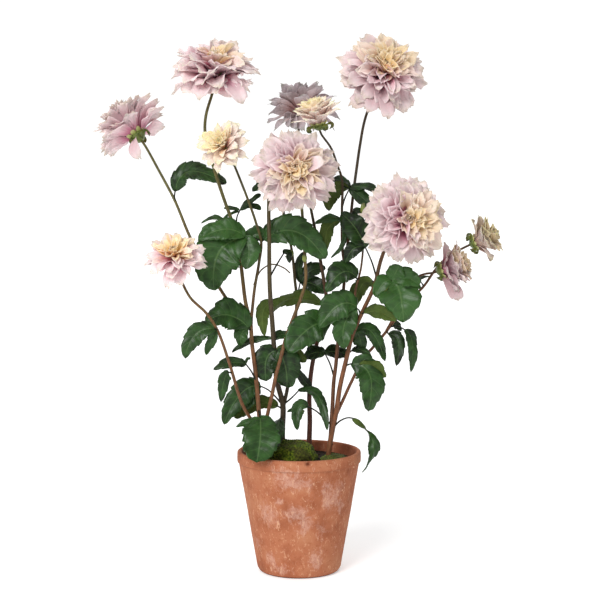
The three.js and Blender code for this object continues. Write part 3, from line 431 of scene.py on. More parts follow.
# Centre, faces and radius place a head. Petals is their number, rises the angles of the lowest
# and the highest in degrees, and dome how much shorter the inner ones are. Broad widens them,
# folds says how much they curl and fold, and blunt is the range of their tips. Heart is how far in
# the cream starts, warm the side that it favours, and dim is painted shade that darkens all its
# petals, or painted light that lightens them where it is below zero. Apron and loose are the
# tips of single petals that hang in front and below, and turned rolls these. Seat raises the cup,
# and cup and bracts size it.
PLAIN_HEAD = {
    "slot": "petal", "rises": (-24, 66), "dome": 0.46, "broad": 1, "folds": 1, "blunt": (0.3, 0.75),
    "dim": 0, "apron": [], "loose": [], "turned": 0, "seat": 0, "cup": 1, "bracts": 1,
}
BLOOMS = {
    "top_left": {
        "centre": (-139, 20, 820), "faces": (0.03, -0.42, 0.9), "radius": 77, "petals": 84,
        "rises": (-18, 66), "dome": 0.5, "broad": 1.15, "folds": 0.85, "blunt": (0.5, 0.95),
        "heart": 0.74, "warm": (1, 0, 0.3), "dim": -0.3, "seat": 0.34, "cup": 0.6, "bracts": 0.3,
        "apron": [(-160, -36, 773), (-90, -44, 765)], "loose": [(-112, 40, 778)]},
    "left_side": {
        "centre": (-276, 60, 727), "faces": (-0.60, 0.24, 0.76), "radius": 64, "petals": 72,
        "rises": (-8, 84), "dome": 0.26, "broad": 1.1, "folds": 0.6, "blunt": (0.5, 0.95),
        "heart": 1.0, "warm": (0, 0, 0.5), "dim": 0.2, "seat": 0.2, "cup": 0.85, "bracts": 0.9,
        "loose": [(-258, 8, 678)]},
    "left_low": {
        "centre": (-194, -108, 525), "faces": (-0.10, -0.66, 0.75), "radius": 50, "petals": 60,
        "folds": 0.7, "blunt": (0.4, 0.85), "heart": 0.4, "warm": (0.3, 0, 0.9), "dim": -0.5},
    "cream_left": {
        "centre": (-119, -60, 697), "faces": (-0.30, -0.80, 0.52), "radius": 46, "petals": 46,
        "rises": (-10, 74), "broad": 1.15, "folds": 0.65, "blunt": (0.35, 0.75),
        "slot": "cream_petal", "heart": 0.35, "warm": (-0.9, 0, 0.4), "dim": -0.3},
    "centre": {
        "centre": (-7, -90, 661), "faces": (0.04, -0.98, 0.18), "radius": 70, "petals": 98,
        "broad": 1.1, "heart": 0.62, "warm": (0.5, 0, -0.6), "dim": 0.2},
    "back": {
        "centre": (2, 108, 763), "faces": (-0.26, 0.42, 0.87), "radius": 62, "petals": 48,
        "rises": (0, 52), "broad": 1.05, "folds": 0.5, "blunt": (0.15, 0.4), "slot": "dusk_petal",
        "heart": 1.2, "warm": (0, 0, 0), "seat": 0.36, "cup": 0.5, "bracts": 0.3,
        "loose": [(58, 88, 727), (68, 100, 745), (44, 84, 724), (-26, 84, 738), (-15, 80, 731),
                  (-4, 78, 727), (8, 78, 725), (22, 80, 725)]},
    "cream_top": {
        "centre": (30, -10, 741), "faces": (-0.22, -0.12, 0.97), "radius": 43, "petals": 76,
        "rises": (12, 86), "dome": 0.2, "broad": 1.15, "folds": 0.6, "slot": "cream_petal",
        "heart": 0.4, "warm": (-0.6, 0, 0.5), "dim": -0.8, "seat": 0.2, "bracts": 1.9},
    "top_right": {
        "centre": (137, 30, 817), "faces": (0.20, -0.84, 0.50), "radius": 74, "petals": 96,
        "broad": 1.12, "folds": 0.85, "blunt": (0.4, 0.9), "heart": 0.55, "warm": (0.2, 0, 1.5),
        "dim": 0.3, "loose": [(142, -30, 742), (112, -20, 752)]},
    "right": {
        "centre": (167, -80, 582), "faces": (0.22, -0.95, 0.12), "radius": 72, "petals": 92,
        "broad": 1.2, "folds": 0.8, "blunt": (0.45, 0.95), "heart": 0.62, "warm": (1.7, 0, 0.3),
        "dim": 0.25},
    "right_low": {
        "centre": (240, -20, 501), "faces": (0.88, -0.25, 0.30), "radius": 45, "petals": 44,
        "rises": (14, 82), "dome": 0.3, "broad": 1.5, "folds": 0.5, "blunt": (0.5, 0.95),
        "heart": 0.4, "warm": (0, 0, 1), "dim": 1.2, "seat": 0.2, "loose": [(256, -34, 450)],
        "turned": 1.1},
    "right_end": {
        "centre": (301, 60, 542), "faces": (0.86, -0.25, 0.40), "radius": 44, "petals": 48,
        "rises": (12, 82), "dome": 0.3, "broad": 1.3, "folds": 0.55, "blunt": (0.45, 0.85),
        "slot": "cream_petal", "heart": 0.1, "warm": (0, 0, 0.6), "dim": 1.5, "seat": 0.2,
        "bracts": 1.4},
}
BLOOMS = {name: PLAIN_HEAD | own for name, own in BLOOMS.items()}
CUP_END = -0.60
STEM_SIDES = 14
STEM_STEP = 6 * MM
JOINT_SWELLING = 0.28
JOINT_REACH = 9 * MM
ROUTE_CUTS = 12


def blend(low, high, share):
    """The value at a share of the way from low to high."""
    return low + (high - low) * share


def smooth_route(points, step):
    """A smooth curve through points, cut into about equal steps. Returns its places."""
    ends = [points[0] * 2 - points[1], *points, points[-1] * 2 - points[-2]]
    fine = [points[0]]
    for a, b, c, d in zip(ends, ends[1:], ends[2:], ends[3:]):
        at_b = (b - a).length ** 0.5
        at_c = at_b + (c - b).length ** 0.5
        at_d = at_c + (d - c).length ** 0.5
        for i in range(1, ROUTE_CUTS + 1):
            at = at_b + (at_c - at_b) * i / ROUTE_CUTS
            ab = a.lerp(b, at / at_b)
            bc = b.lerp(c, (at - at_b) / (at_c - at_b))
            cd = c.lerp(d, (at - at_c) / (at_d - at_c))
            abc = ab.lerp(bc, at / at_c)
            bcd = bc.lerp(cd, (at - at_b) / (at_d - at_b))
            fine.append(abc.lerp(bcd, (at - at_b) / (at_c - at_b)))
    far = [0]
    for a, b in zip(fine, fine[1:]):
        far.append(far[-1] + (b - a).length)
    count = max(3, round(far[-1] / step))
    places = []
    j = 0
    for i in range(count + 1):
        goal = far[-1] * i / count
        while j < len(far) - 2 and far[j + 1] < goal:
            j += 1
        places.append(fine[j].lerp(fine[j + 1], (goal - far[j]) / (far[j + 1] - far[j])))
    return places


def add_tube(bm, places, radii, sides):
    """A closed round tube along places. Returns its faces."""
    old_faces = set(bm.faces)
    normal = (places[1] - places[0]).orthogonal()
    previous = None
    for i, (place, radius) in enumerate(zip(places, radii)):
        along = (places[min(i + 1, len(places) - 1)] - places[max(i - 1, 0)]).normalized()
        normal = (normal - along * normal.dot(along)).normalized()
        turn = Matrix((along.cross(normal), normal, along)).transposed().to_4x4()
        turn = Matrix.Translation(place) @ turn @ Matrix.Diagonal((radius, radius, radius, 1))
        if previous is None:
            ring = bmesh.ops.create_circle(bm, cap_ends=True, segments=sides, radius=1, matrix=turn)
            edges = list({edge for vert in ring["verts"] for edge in vert.link_edges})
        else:
            made = bmesh.ops.extrude_edge_only(bm, edges=edges)["geom"]
            ring = [item for item in made if isinstance(item, bmesh.types.BMVert)]
            edges = [item for item in made if isinstance(item, bmesh.types.BMEdge)
                     and item.verts[0] in ring and item.verts[1] in ring]
            bmesh.ops.transform(bm, matrix=turn @ previous.inverted(), verts=ring)
        previous = turn
    bmesh.ops.holes_fill(bm, edges=edges)
    faces = [face for face in bm.faces if face not in old_faces]
    bmesh.ops.recalc_face_normals(bm, faces=faces)
    return faces


def stem_material(name, low, high, dark):
    """Fresh stem skin: smooth and a little waxy, with faint dark streaks along it, red-brown to
    olive.
    """
    material, tree, shader = start_material(name, {"Roughness": 0.45, "Specular IOR Level": 0.22})
    coords = add_node(tree, "TexCoord").outputs["Object"]
    height = add_node(tree, "SeparateXYZ", {"Vector": coords}).outputs["Z"]
    share = add_node(tree, "MapRange", {"Value": height, "From Min": 0.3, "From Max": 0.66})
    patches = add_node(tree, "TexNoise", {"Vector": coords, "Scale": 45, "Detail": 4})
    branch = add_node(tree, "Attribute", attribute_name="tone").outputs["Alpha"]
    shifted = add_node(tree, "Math", {0: patches, 1: 0.9, 2: share}, operation="MULTIPLY_ADD")
    centred = add_node(tree, "Math", {0: shifted, 1: 0.45}, operation="SUBTRACT")
    skin = add_node(tree, "ValToRGB", {"Fac": centred}, stops=[(0.1, low), (0.9, high)])
    stretched = add_node(tree, "Mapping", {"Vector": coords, "Scale": (1, 1, 0.15)})
    fibres = add_node(tree, "TexNoise", {"Vector": stretched, "Scale": 500, "Detail": 4})
    lines = add_node(tree, "ValToRGB", {"Fac": fibres}, stops=[(0.42, "#FFFFFF"), (0.6, "#000000")])
    streaked = add_node(tree, "Mix", {0: lines, 6: skin, 7: linear(dark)}, data_type="RGBA")
    faint = add_node(tree, "Mix", {0: 0.45, 6: skin, 7: streaked}, data_type="RGBA")
    deep = add_node(tree, "Mix", {0: branch, 6: faint, 7: linear(dark)}, data_type="RGBA")
    bump = add_node(tree, "Bump", {"Height": fibres, "Strength": 0.35, "Distance": 0.3 * MM})
    plug(shader, {"Base Color": deep, "Normal": bump})
    return material


STEM_SKINS = {
    "stalk_left": stem_material("red-brown stem", "#764E33", "#625E34", "#2E2413"),
    "stalk_back_left": stem_material("dark olive stem", "#45392A", "#504528", "#1E1C0E"),
    "stalk_back": stem_material("dark red stem", "#5A3327", "#423B24", "#23150E"),
    "stalk_right": stem_material("orange-brown stem", "#7E5034", "#473A24", "#241A10"),
}


def branch_route(branch):
    """A branch's route, run on into the cup of its flower along the flower's own axis."""
    points = [Vector(point) * MM for point in branch["way"]]
    if "end" in branch:
        bloom = BLOOMS[branch["end"]]
        axis = Vector(bloom["faces"]).normalized()
        for share in (CUP_END - 0.12, CUP_END + 0.1):
            share += bloom["seat"]
            points.append((Vector(bloom["centre"]) + axis * share * bloom["radius"]) * MM)
    return smooth_route(points, STEM_STEP)


for name, branches in STALKS.items():
    bm = bmesh.new()
    marks = bm.verts.layers.float_color.new("tone")
    for branch in branches:
        places = branch_route(branch)
        last = len(places) - 1
        swelling = 0 if branch["way"][0][2] == STALK_FOOT else JOINT_SWELLING
        radii = []
        for i in range(last + 1):
            swollen = 1 + swelling * math.exp(-(i * STEM_STEP / JOINT_REACH) ** 2)
            radii.append(blend(*branch["thick"], i / last) * MM * swollen)
        for face in add_tube(bm, places, radii, STEM_SIDES):
            for vert in face.verts:
                vert[marks] = (0, 0, 0, branch.get("dark", 0))
    add_piece(f"{name}_stems", bm, [STEM_SKINS[name]], [name])


# The cups under the flowers: a green swollen stem end with five fleshy bracts that roll back,
# and a ring of thin pale scales that hold the petals together.
TIP_CURVE = 0.16
WIDEST = 0.55


def petal_half(share, half, blunt):
    """How wide a petal is to one side along its length: widest past its middle, then pointed."""
    if share < WIDEST:
        return half * (0.2 + 0.8 * math.sin(math.pi / 2 * share / WIDEST) ** 1.2)
    return half * (1 - (1 - blunt) * ((share - WIDEST) / (1 - WIDEST)) ** 2.1)


def add_petal(bm, marks, place, turn, root, knee, tip, half, blunt, tone, cup=0, flare=0, fold=0,
              ruffle=0, waves=0, phase=0, roll=0, twist=0, sway=0, deep=0, pale=0, fade=0,
              cuts=(8, 12)):
    """Shapes a grid into a petal. Its middle line runs from root by knee to tip, as pairs of
    reach and height. It is cupped at its root and flared at its tip, and may be folded along its
    middle, ruffled, rolled, twisted and swayed. Tone holds its warmth and its shade; deep and
    pale shift its colours to those of the root or the tip, and fade cools the tip."""
    root, knee, tip = Vector(root), Vector(knee), Vector(tip)
    grid = bmesh.ops.create_grid(bm, x_segments=cuts[0], y_segments=cuts[1], size=1)
    for vert in grid["verts"]:
        across = vert.co.x
        share = (vert.co.y + 1) / 2
        ragged = noise.noise(Vector((3 * across, 20 * phase, 0)))
        share *= 1 - (TIP_CURVE * abs(across) ** 1.7 - TIP_CURVE * ragged) * share
        middle = root.lerp(knee, share).lerp(knee.lerp(tip, share), share)
        along = ((knee - root).lerp(tip - knee, share)).normalized()
        wide = petal_half(share, half, blunt)
        lift = wide * (blend(cup, flare, share) * across ** 2 + fold * abs(across))
        wave = math.sin(6.3 * (waves * share + phase) + (1.9 if across > 0 else 0))
        lift += ruffle * half * across ** 2 * share * wave
        crease = noise.noise(Vector((2 * across, 4 * share, 20 * phase)))
        lift += 1.2 * ruffle * wide * share * crease
        side = wide * across
        rolled = roll + twist * share
        out = side * math.cos(rolled) - lift * math.sin(rolled) + sway * share ** 2
        lift = side * math.sin(rolled) + lift * math.cos(rolled)
        reach = middle.x - along.y * lift
        height = middle.y + along.x * lift
        spot = Vector((reach * math.cos(turn) - out * math.sin(turn),
                       reach * math.sin(turn) + out * math.cos(turn), height))
        vert.co = place @ spot
        vert[marks] = (max(share - deep, pale), tone[0] * (1 - fade * share), tone[1], across)


def thicken(piece, name, thickness):
    """Gives thin sheets their thickness, half of it to each side."""
    sheet = piece.modifiers.new(name, "SOLIDIFY")
    sheet.thickness = thickness
    sheet.offset = 0


def head_place(bloom):
    """The matrix that stands a head, built about the upright axis in shares of its radius."""
    turn = Vector((0, 0, 1)).rotation_difference(Vector(bloom["faces"])).to_matrix().to_4x4()
    size = bloom["radius"] * MM
    return Matrix.Translation(Vector(bloom["centre"]) * MM) @ turn @ Matrix.Scale(size, 4)


BRACTS = 5
SCALES = 9
BRACT_THICK = 0.9 * MM
CUP_PROFILE = [(0.0, -0.60), (0.085, -0.60), (0.13, -0.57), (0.22, -0.50), (0.27, -0.44),
               (0.25, -0.40), (0.20, -0.37), (0.0, -0.36)]

cup_skin, tree, shader = start_material(
    "green bract", {"Roughness": 0.45, "Specular IOR Level": 0.45, "Subsurface Weight": 0.05})
# Fleshy and smooth: dark olive where a bract rolls back, yellow-green on the pale scales.
mark = add_node(tree, "Attribute", attribute_name="tone")
parts = add_node(tree, "SeparateColor", {"Color": mark}).outputs
fleshy = add_node(tree, "ValToRGB", {"Fac": parts["Red"]}, stops=[
    (0.0, "#8A9440"), (0.5, "#4C5E22"), (1.0, "#36421C")])
pale = add_node(tree, "ValToRGB", {"Fac": parts["Red"]}, stops=[
    (0.0, "#78863A"), (0.6, "#A6AC62"), (1.0, "#C6BE8C")])
skin = add_node(tree, "Mix", {0: parts["Green"], 6: fleshy, 7: pale}, data_type="RGBA")
coords = add_node(tree, "TexCoord").outputs["Object"]
veins = add_node(tree, "TexNoise", {"Vector": coords, "Scale": 350, "Detail": 3})
shade = add_node(tree, "MapRange", {"Value": veins, "To Min": 0.75, "To Max": 1.2})
dappled = add_node(tree, "VectorMath", {0: skin, "Scale": shade}, operation="SCALE")
plug(shader, {"Base Color": dappled})

for number, (name, bloom) in enumerate(BLOOMS.items()):
    rng = random.Random(60 + number)
    bracts = bloom["bracts"]
    place = head_place(bloom) @ Matrix.Translation((0, 0, bloom["seat"]))
    place @= Matrix.Diagonal((bloom["cup"], bloom["cup"], 1, 1))
    bm = bmesh.new()
    marks = bm.verts.layers.float_color.new("tone")
    outline = [bm.verts.new((reach, 0, height)) for reach, height in CUP_PROFILE]
    edges = [bm.edges.new(pair) for pair in zip(outline, outline[1:])]
    bmesh.ops.spin(bm, geom=outline + edges, axis=(0, 0, 1), cent=(0, 0, 0), angle=2 * math.pi,
                   steps=24, use_merge=True)
    bmesh.ops.remove_doubles(bm, verts=bm.verts, dist=0.001)
    bmesh.ops.recalc_face_normals(bm, faces=bm.faces)
    for vert in bm.verts:
        vert[marks] = (0.35, 0, rng.random(), 0)
    bmesh.ops.transform(bm, matrix=place, verts=bm.verts)
    for i in range(BRACTS):
        turn = (i + rng.uniform(-0.15, 0.15)) * 2 * math.pi / BRACTS
        add_petal(bm, marks, place, turn, root=(0.14, -0.50), knee=(0.14 + 0.26 * bracts, -0.38),
                  tip=(0.16 + rng.uniform(0.06, 0.14) * bracts, -0.64),
                  half=0.055 + 0.035 * bracts, blunt=0.4, cup=0.5, flare=0.7,
                  twist=rng.uniform(-0.4, 0.4), tone=(0, rng.random()), cuts=(6, 10))
    for i in range(SCALES):
        turn = (i + 0.5) * 2 * math.pi / SCALES
        add_petal(bm, marks, place, turn, root=(0.17, -0.43), knee=(0.28, -0.41),
                  tip=(0.35, -0.28), half=0.085, blunt=0.25, cup=0.3, flare=0.1,
                  tone=(1, rng.random()), cuts=(4, 6))
    cup = add_piece(f"cup_{name}", bm, [cup_skin], [])
    thicken(cup, "bract thickness", BRACT_THICK)


# The flower heads: up to a hundred petals set in a spiral round the heart. The outer ones are
# broad and droop, the inner ones short, cupped and warm. They are thin, soft and matte.
GOLDEN_ANGLE = math.radians(137.508)
HEART_COUNT = 11
LOOSE_HALF = 12
PETAL_THICK = 0.45 * MM


def petal_material(name, rose, cream, edge, weight):
    """Fresh dahlia petal: velvety, lets some light through, streaked and ribbed lengthwise every
    millimetre or so. Deep at the root, pale at the edge, with cream to apricot warm petals."""
    material, tree, shader = start_material(name, {
        "Roughness": 0.6, "Specular IOR Level": 0.25, "Sheen Weight": 0.2,
        "Sheen Roughness": 0.4, "Subsurface Weight": weight, "Subsurface Scale": 2.5 * MM,
        "Subsurface Radius": (1, 0.8, 0.8)})
    mark = add_node(tree, "Attribute", attribute_name="tone")
    across = mark.outputs["Alpha"]
    parts = add_node(tree, "SeparateColor", {"Color": mark}).outputs
    apart = add_node(tree, "Math", {0: parts["Blue"], 1: 40}, operation="MULTIPLY")
    slow = add_node(tree, "Math", {0: parts["Red"], 1: 0.16}, operation="MULTIPLY")
    along = add_node(tree, "CombineXYZ", {"X": across, "Y": slow, "Z": apart})
    streaks = add_node(tree, "TexNoise", {
        "Vector": along, "Scale": 9, "Detail": 5, "Roughness": 0.65})
    spread = add_node(tree, "Math", {0: streaks, 1: 0.34, 2: -0.17}, operation="MULTIPLY_ADD")
    place = add_node(tree, "Math", {0: parts["Red"], 1: spread}, operation="ADD")
    cool = add_node(tree, "ValToRGB", {"Fac": place}, stops=rose)
    warm = add_node(tree, "ValToRGB", {"Fac": place}, stops=cream)
    mixed = add_node(tree, "Mix", {0: parts["Green"], 6: cool, 7: warm}, data_type="RGBA")
    side = add_node(tree, "Math", {0: across}, operation="ABSOLUTE")
    rim = add_node(tree, "MapRange", {
        "Value": side, "From Min": 0.75, "From Max": 1, "To Max": 0.22})
    edged = add_node(tree, "Mix", {0: rim, 6: mixed, 7: linear(edge)}, data_type="RGBA")
    # The blue mark scales each petal's colour: a random tone, less the painted shade of its head.
    shade = add_node(tree, "MapRange", {
        "Value": parts["Blue"], "To Min": 0.84, "To Max": 1.06}, clamp=False)
    shaded = add_node(tree, "VectorMath", {0: edged, "Scale": shade}, operation="SCALE")
    bump = add_node(tree, "Bump", {"Height": streaks, "Strength": 0.6, "Distance": 0.9 * MM})
    plug(shader, {"Base Color": shaded, "Normal": bump})
    return material


PETAL_SKINS = {
    "petal": petal_material("blush petal", [
        (0.0, "#9A3A58"), (0.24, "#C87F95"), (0.46, "#E1BAC0"), (0.8, "#EDD5D6"),
        (1.0, "#D6C7B8")], [
        (0.0, "#D07C48"), (0.22, "#ECAC60"), (0.48, "#F8CF82"), (0.78, "#FADA9E"),
        (1.0, "#F2D9B8")], "#EEDAD6", 0.42),
    "cream_petal": petal_material("butter petal", [
        (0.0, "#C08A8C"), (0.3, "#E6C6BE"), (0.8, "#F0DCD0"), (1.0, "#E2DAB4")], [
        (0.0, "#CC9458"), (0.3, "#F4D096"), (0.75, "#F8DFAE"), (1.0, "#E0D28E")],
        "#F4EAD0", 0.42),
    # The back head's petals: the blush colours greyed and darkened as painted shade, for a head
    # that faces away.
    "dusk_petal": petal_material("blush petal in painted shade", [
        (0.0, "#743A40"), (0.3, "#A27672"), (0.55, "#BCA8A8"), (0.85, "#C2B6BA"),
        (1.0, "#A2A298")], [
        (0.0, "#A9805F"), (0.5, "#D2B68C"), (1.0, "#D6C4A0")], "#C9BDC2", 0.15),
}

for number, (name, bloom) in enumerate(BLOOMS.items()):
    rng = random.Random(300 + number)
    place = head_place(bloom)
    dome, broad, folds = bloom["dome"], bloom["broad"], bloom["folds"]
    warm_way = place.to_3x3().normalized().inverted() @ Vector(bloom["warm"])
    bm = bmesh.new()
    marks = bm.verts.layers.float_color.new("tone")
    for k in range(bloom["petals"]):
        share = k / (bloom["petals"] - 1)
        turn = k * GOLDEN_ANGLE + rng.uniform(-0.2, 0.2)
        rise = math.radians(blend(*bloom["rises"], share) + rng.uniform(-12, 12))
        length = (1.03 - dome * share ** 1.4) * rng.uniform(0.86, 1.06)
        root = Vector((blend(0.13, 0.03, share), blend(-0.26, 0.06, share)))
        tip = Vector((math.cos(rise), math.sin(rise))) * length
        arch = rise + math.radians(blend(42, 14, share) + rng.uniform(-8, 8))
        knee = root + Vector((math.cos(arch), math.sin(arch))) * (tip - root).length * 0.6
        sunny = math.cos(turn) * warm_way.x + math.sin(turn) * warm_way.y
        warmth = (share + 0.2 * sunny - bloom["heart"]) / 0.4 + rng.uniform(-0.25, 0.6)
        # Each petal's shade is a random tone less the head's dim: painted shade, or painted light
        # where dim is below zero.
        add_petal(bm, marks, place, turn, root=root, knee=knee, tip=tip,
                  half=blend(0.21, 0.19 - 0.22 * dome, share) * rng.uniform(0.75, 1.2) * broad,
                  blunt=rng.uniform(*bloom["blunt"]), cup=blend(0.1, 0.5, share) * folds,
                  flare=blend(rng.uniform(-0.35, 0.3), 0.3, share) * folds,
                  fold=rng.uniform(0, blend(0.6, 1, share)) * folds,
                  ruffle=blend(0.3, 0.2, share), waves=rng.uniform(0.8, 1.8),
                  phase=rng.random(), roll=rng.uniform(-0.5, 0.5) * folds,
                  twist=rng.uniform(-0.6, 0.6) * folds, sway=rng.uniform(-0.14, 0.14),
                  deep=0.26 * min(max(-sunny, 0), 1) * (share > 0.5), fade=0.25,
                  tone=(min(max(warmth, 0), 1), rng.random() - bloom["dim"]))
    for k in range(HEART_COUNT):
        share = k / HEART_COUNT
        length = blend(0.5, 0.42, share) * rng.uniform(0.92, 1.05)
        add_petal(bm, marks, place, k * GOLDEN_ANGLE, root=(0.05, 0.12),
                  knee=(blend(0.22, 0.11, share), length * 0.7),
                  tip=(blend(0.1, 0.005, share), length), half=0.085, blunt=0.2, cup=0.9,
                  flare=0.7, fold=0.2, ruffle=0.1, waves=1, phase=rng.random(), twist=0.3,
                  sway=0.02, tone=(1 if bloom["heart"] < 0.6 else 0.6, rng.random()),
                  cuts=(6, 8))
    # Single petals in front and below get a further 0.2 of painted shade, besides the head's dim.
    for end in bloom["loose"] + bloom["apron"]:
        over = end in bloom["apron"]
        local = place.inverted() @ (Vector(end) * MM)
        reach = Vector((local.xy.length, local.z))
        knee = Vector((reach.x * 0.85, 0)) if over else reach * 0.62 + Vector((0.22, 0.12))
        add_petal(bm, marks, place, math.atan2(local.y, local.x),
                  root=(0.14, -0.05 if over else -0.28), knee=knee, tip=reach,
                  half=0.2 if over else LOOSE_HALF / bloom["radius"], blunt=0.5, cup=0.2,
                  fold=0.1, ruffle=0.15, waves=1, phase=rng.random(), roll=bloom["turned"],
                  twist=0.1, pale=0.2 if over else 0.6, tone=(0, -0.2 - bloom["dim"]))
    slot = bloom["slot"]
    head = add_piece(f"petals_{name}", bm, [PETAL_SKINS[slot]], [f"bloom_{name}"])
    thicken(head, "petal thickness", PETAL_THICK)


# The buds: tight green knobs on the tips of side shoots, wrapped in overlapping scales. They
# are fleshy like the cups, and each closes over petals that have yet to grow.
BUD_SCALES = 9
BUD_SCALE_THICK = 0.5 * MM
# Place, half width and half height, in millimetres.
BUDS = {
    "centre_bud": (9, 8, 516, 4.5, 7),
    "back_bud": (-14, 38, 522, 6, 7),
    "high_bud": (-31, 19, 619, 5, 8),
    "hidden_bud": (17, 13, 608, 5, 8),
    "right_bud": (104, -2, 597, 5, 10),
}
for name, (x, y, z, half_width, half_height) in BUDS.items():
    rng = random.Random(name)
    bm = bmesh.new()
    marks = bm.verts.layers.float_color.new("tone")
    place = Matrix.Translation(Vector((x, y, z)) * MM) @ Matrix.Diagonal(
        (half_width * MM, half_width * MM, half_height * MM, 1))
    bmesh.ops.create_uvsphere(bm, u_segments=24, v_segments=16, radius=0.86)
    for vert in bm.verts:
        vert[marks] = ((vert.co.z + 1) / 2 * 0.5, 0.4, 0.5, 0)
    bmesh.ops.transform(bm, matrix=place, verts=bm.verts)
    for i in range(BUD_SCALES):
        inner = 0.1 * (i % 3)
        add_petal(bm, marks, place, i * GOLDEN_ANGLE, root=(0.5, inner - 0.75),
                  knee=(1.15, inner - 0.15), tip=(inner + 0.35, 0.85), half=0.5, blunt=0.2,
                  cup=0.5, flare=0.6, tone=(0.3, rng.random()), cuts=(5, 8))
    bud = add_piece(name, bm, [cup_skin], [])
    thicken(bud, "scale thickness", BUD_SCALE_THICK)


# The leaves: each has a leaf stalk and one to four toothed blades. A blade bends along its
# middle rib, puffs up between its side veins, shines above and is matte and paler below.
PETIOLE_THICK = (1.6, 1.1)
PETIOLE_STEP = 4 * MM
PETIOLE_SIDES = 8
BLADE_THICK = 0.7 * MM
TOOTH_LENGTH = 11 * MM
TOOTH_DEPTH = 0.19
SIDE_VEINS = 7
VEIN_SLANT = 0.17
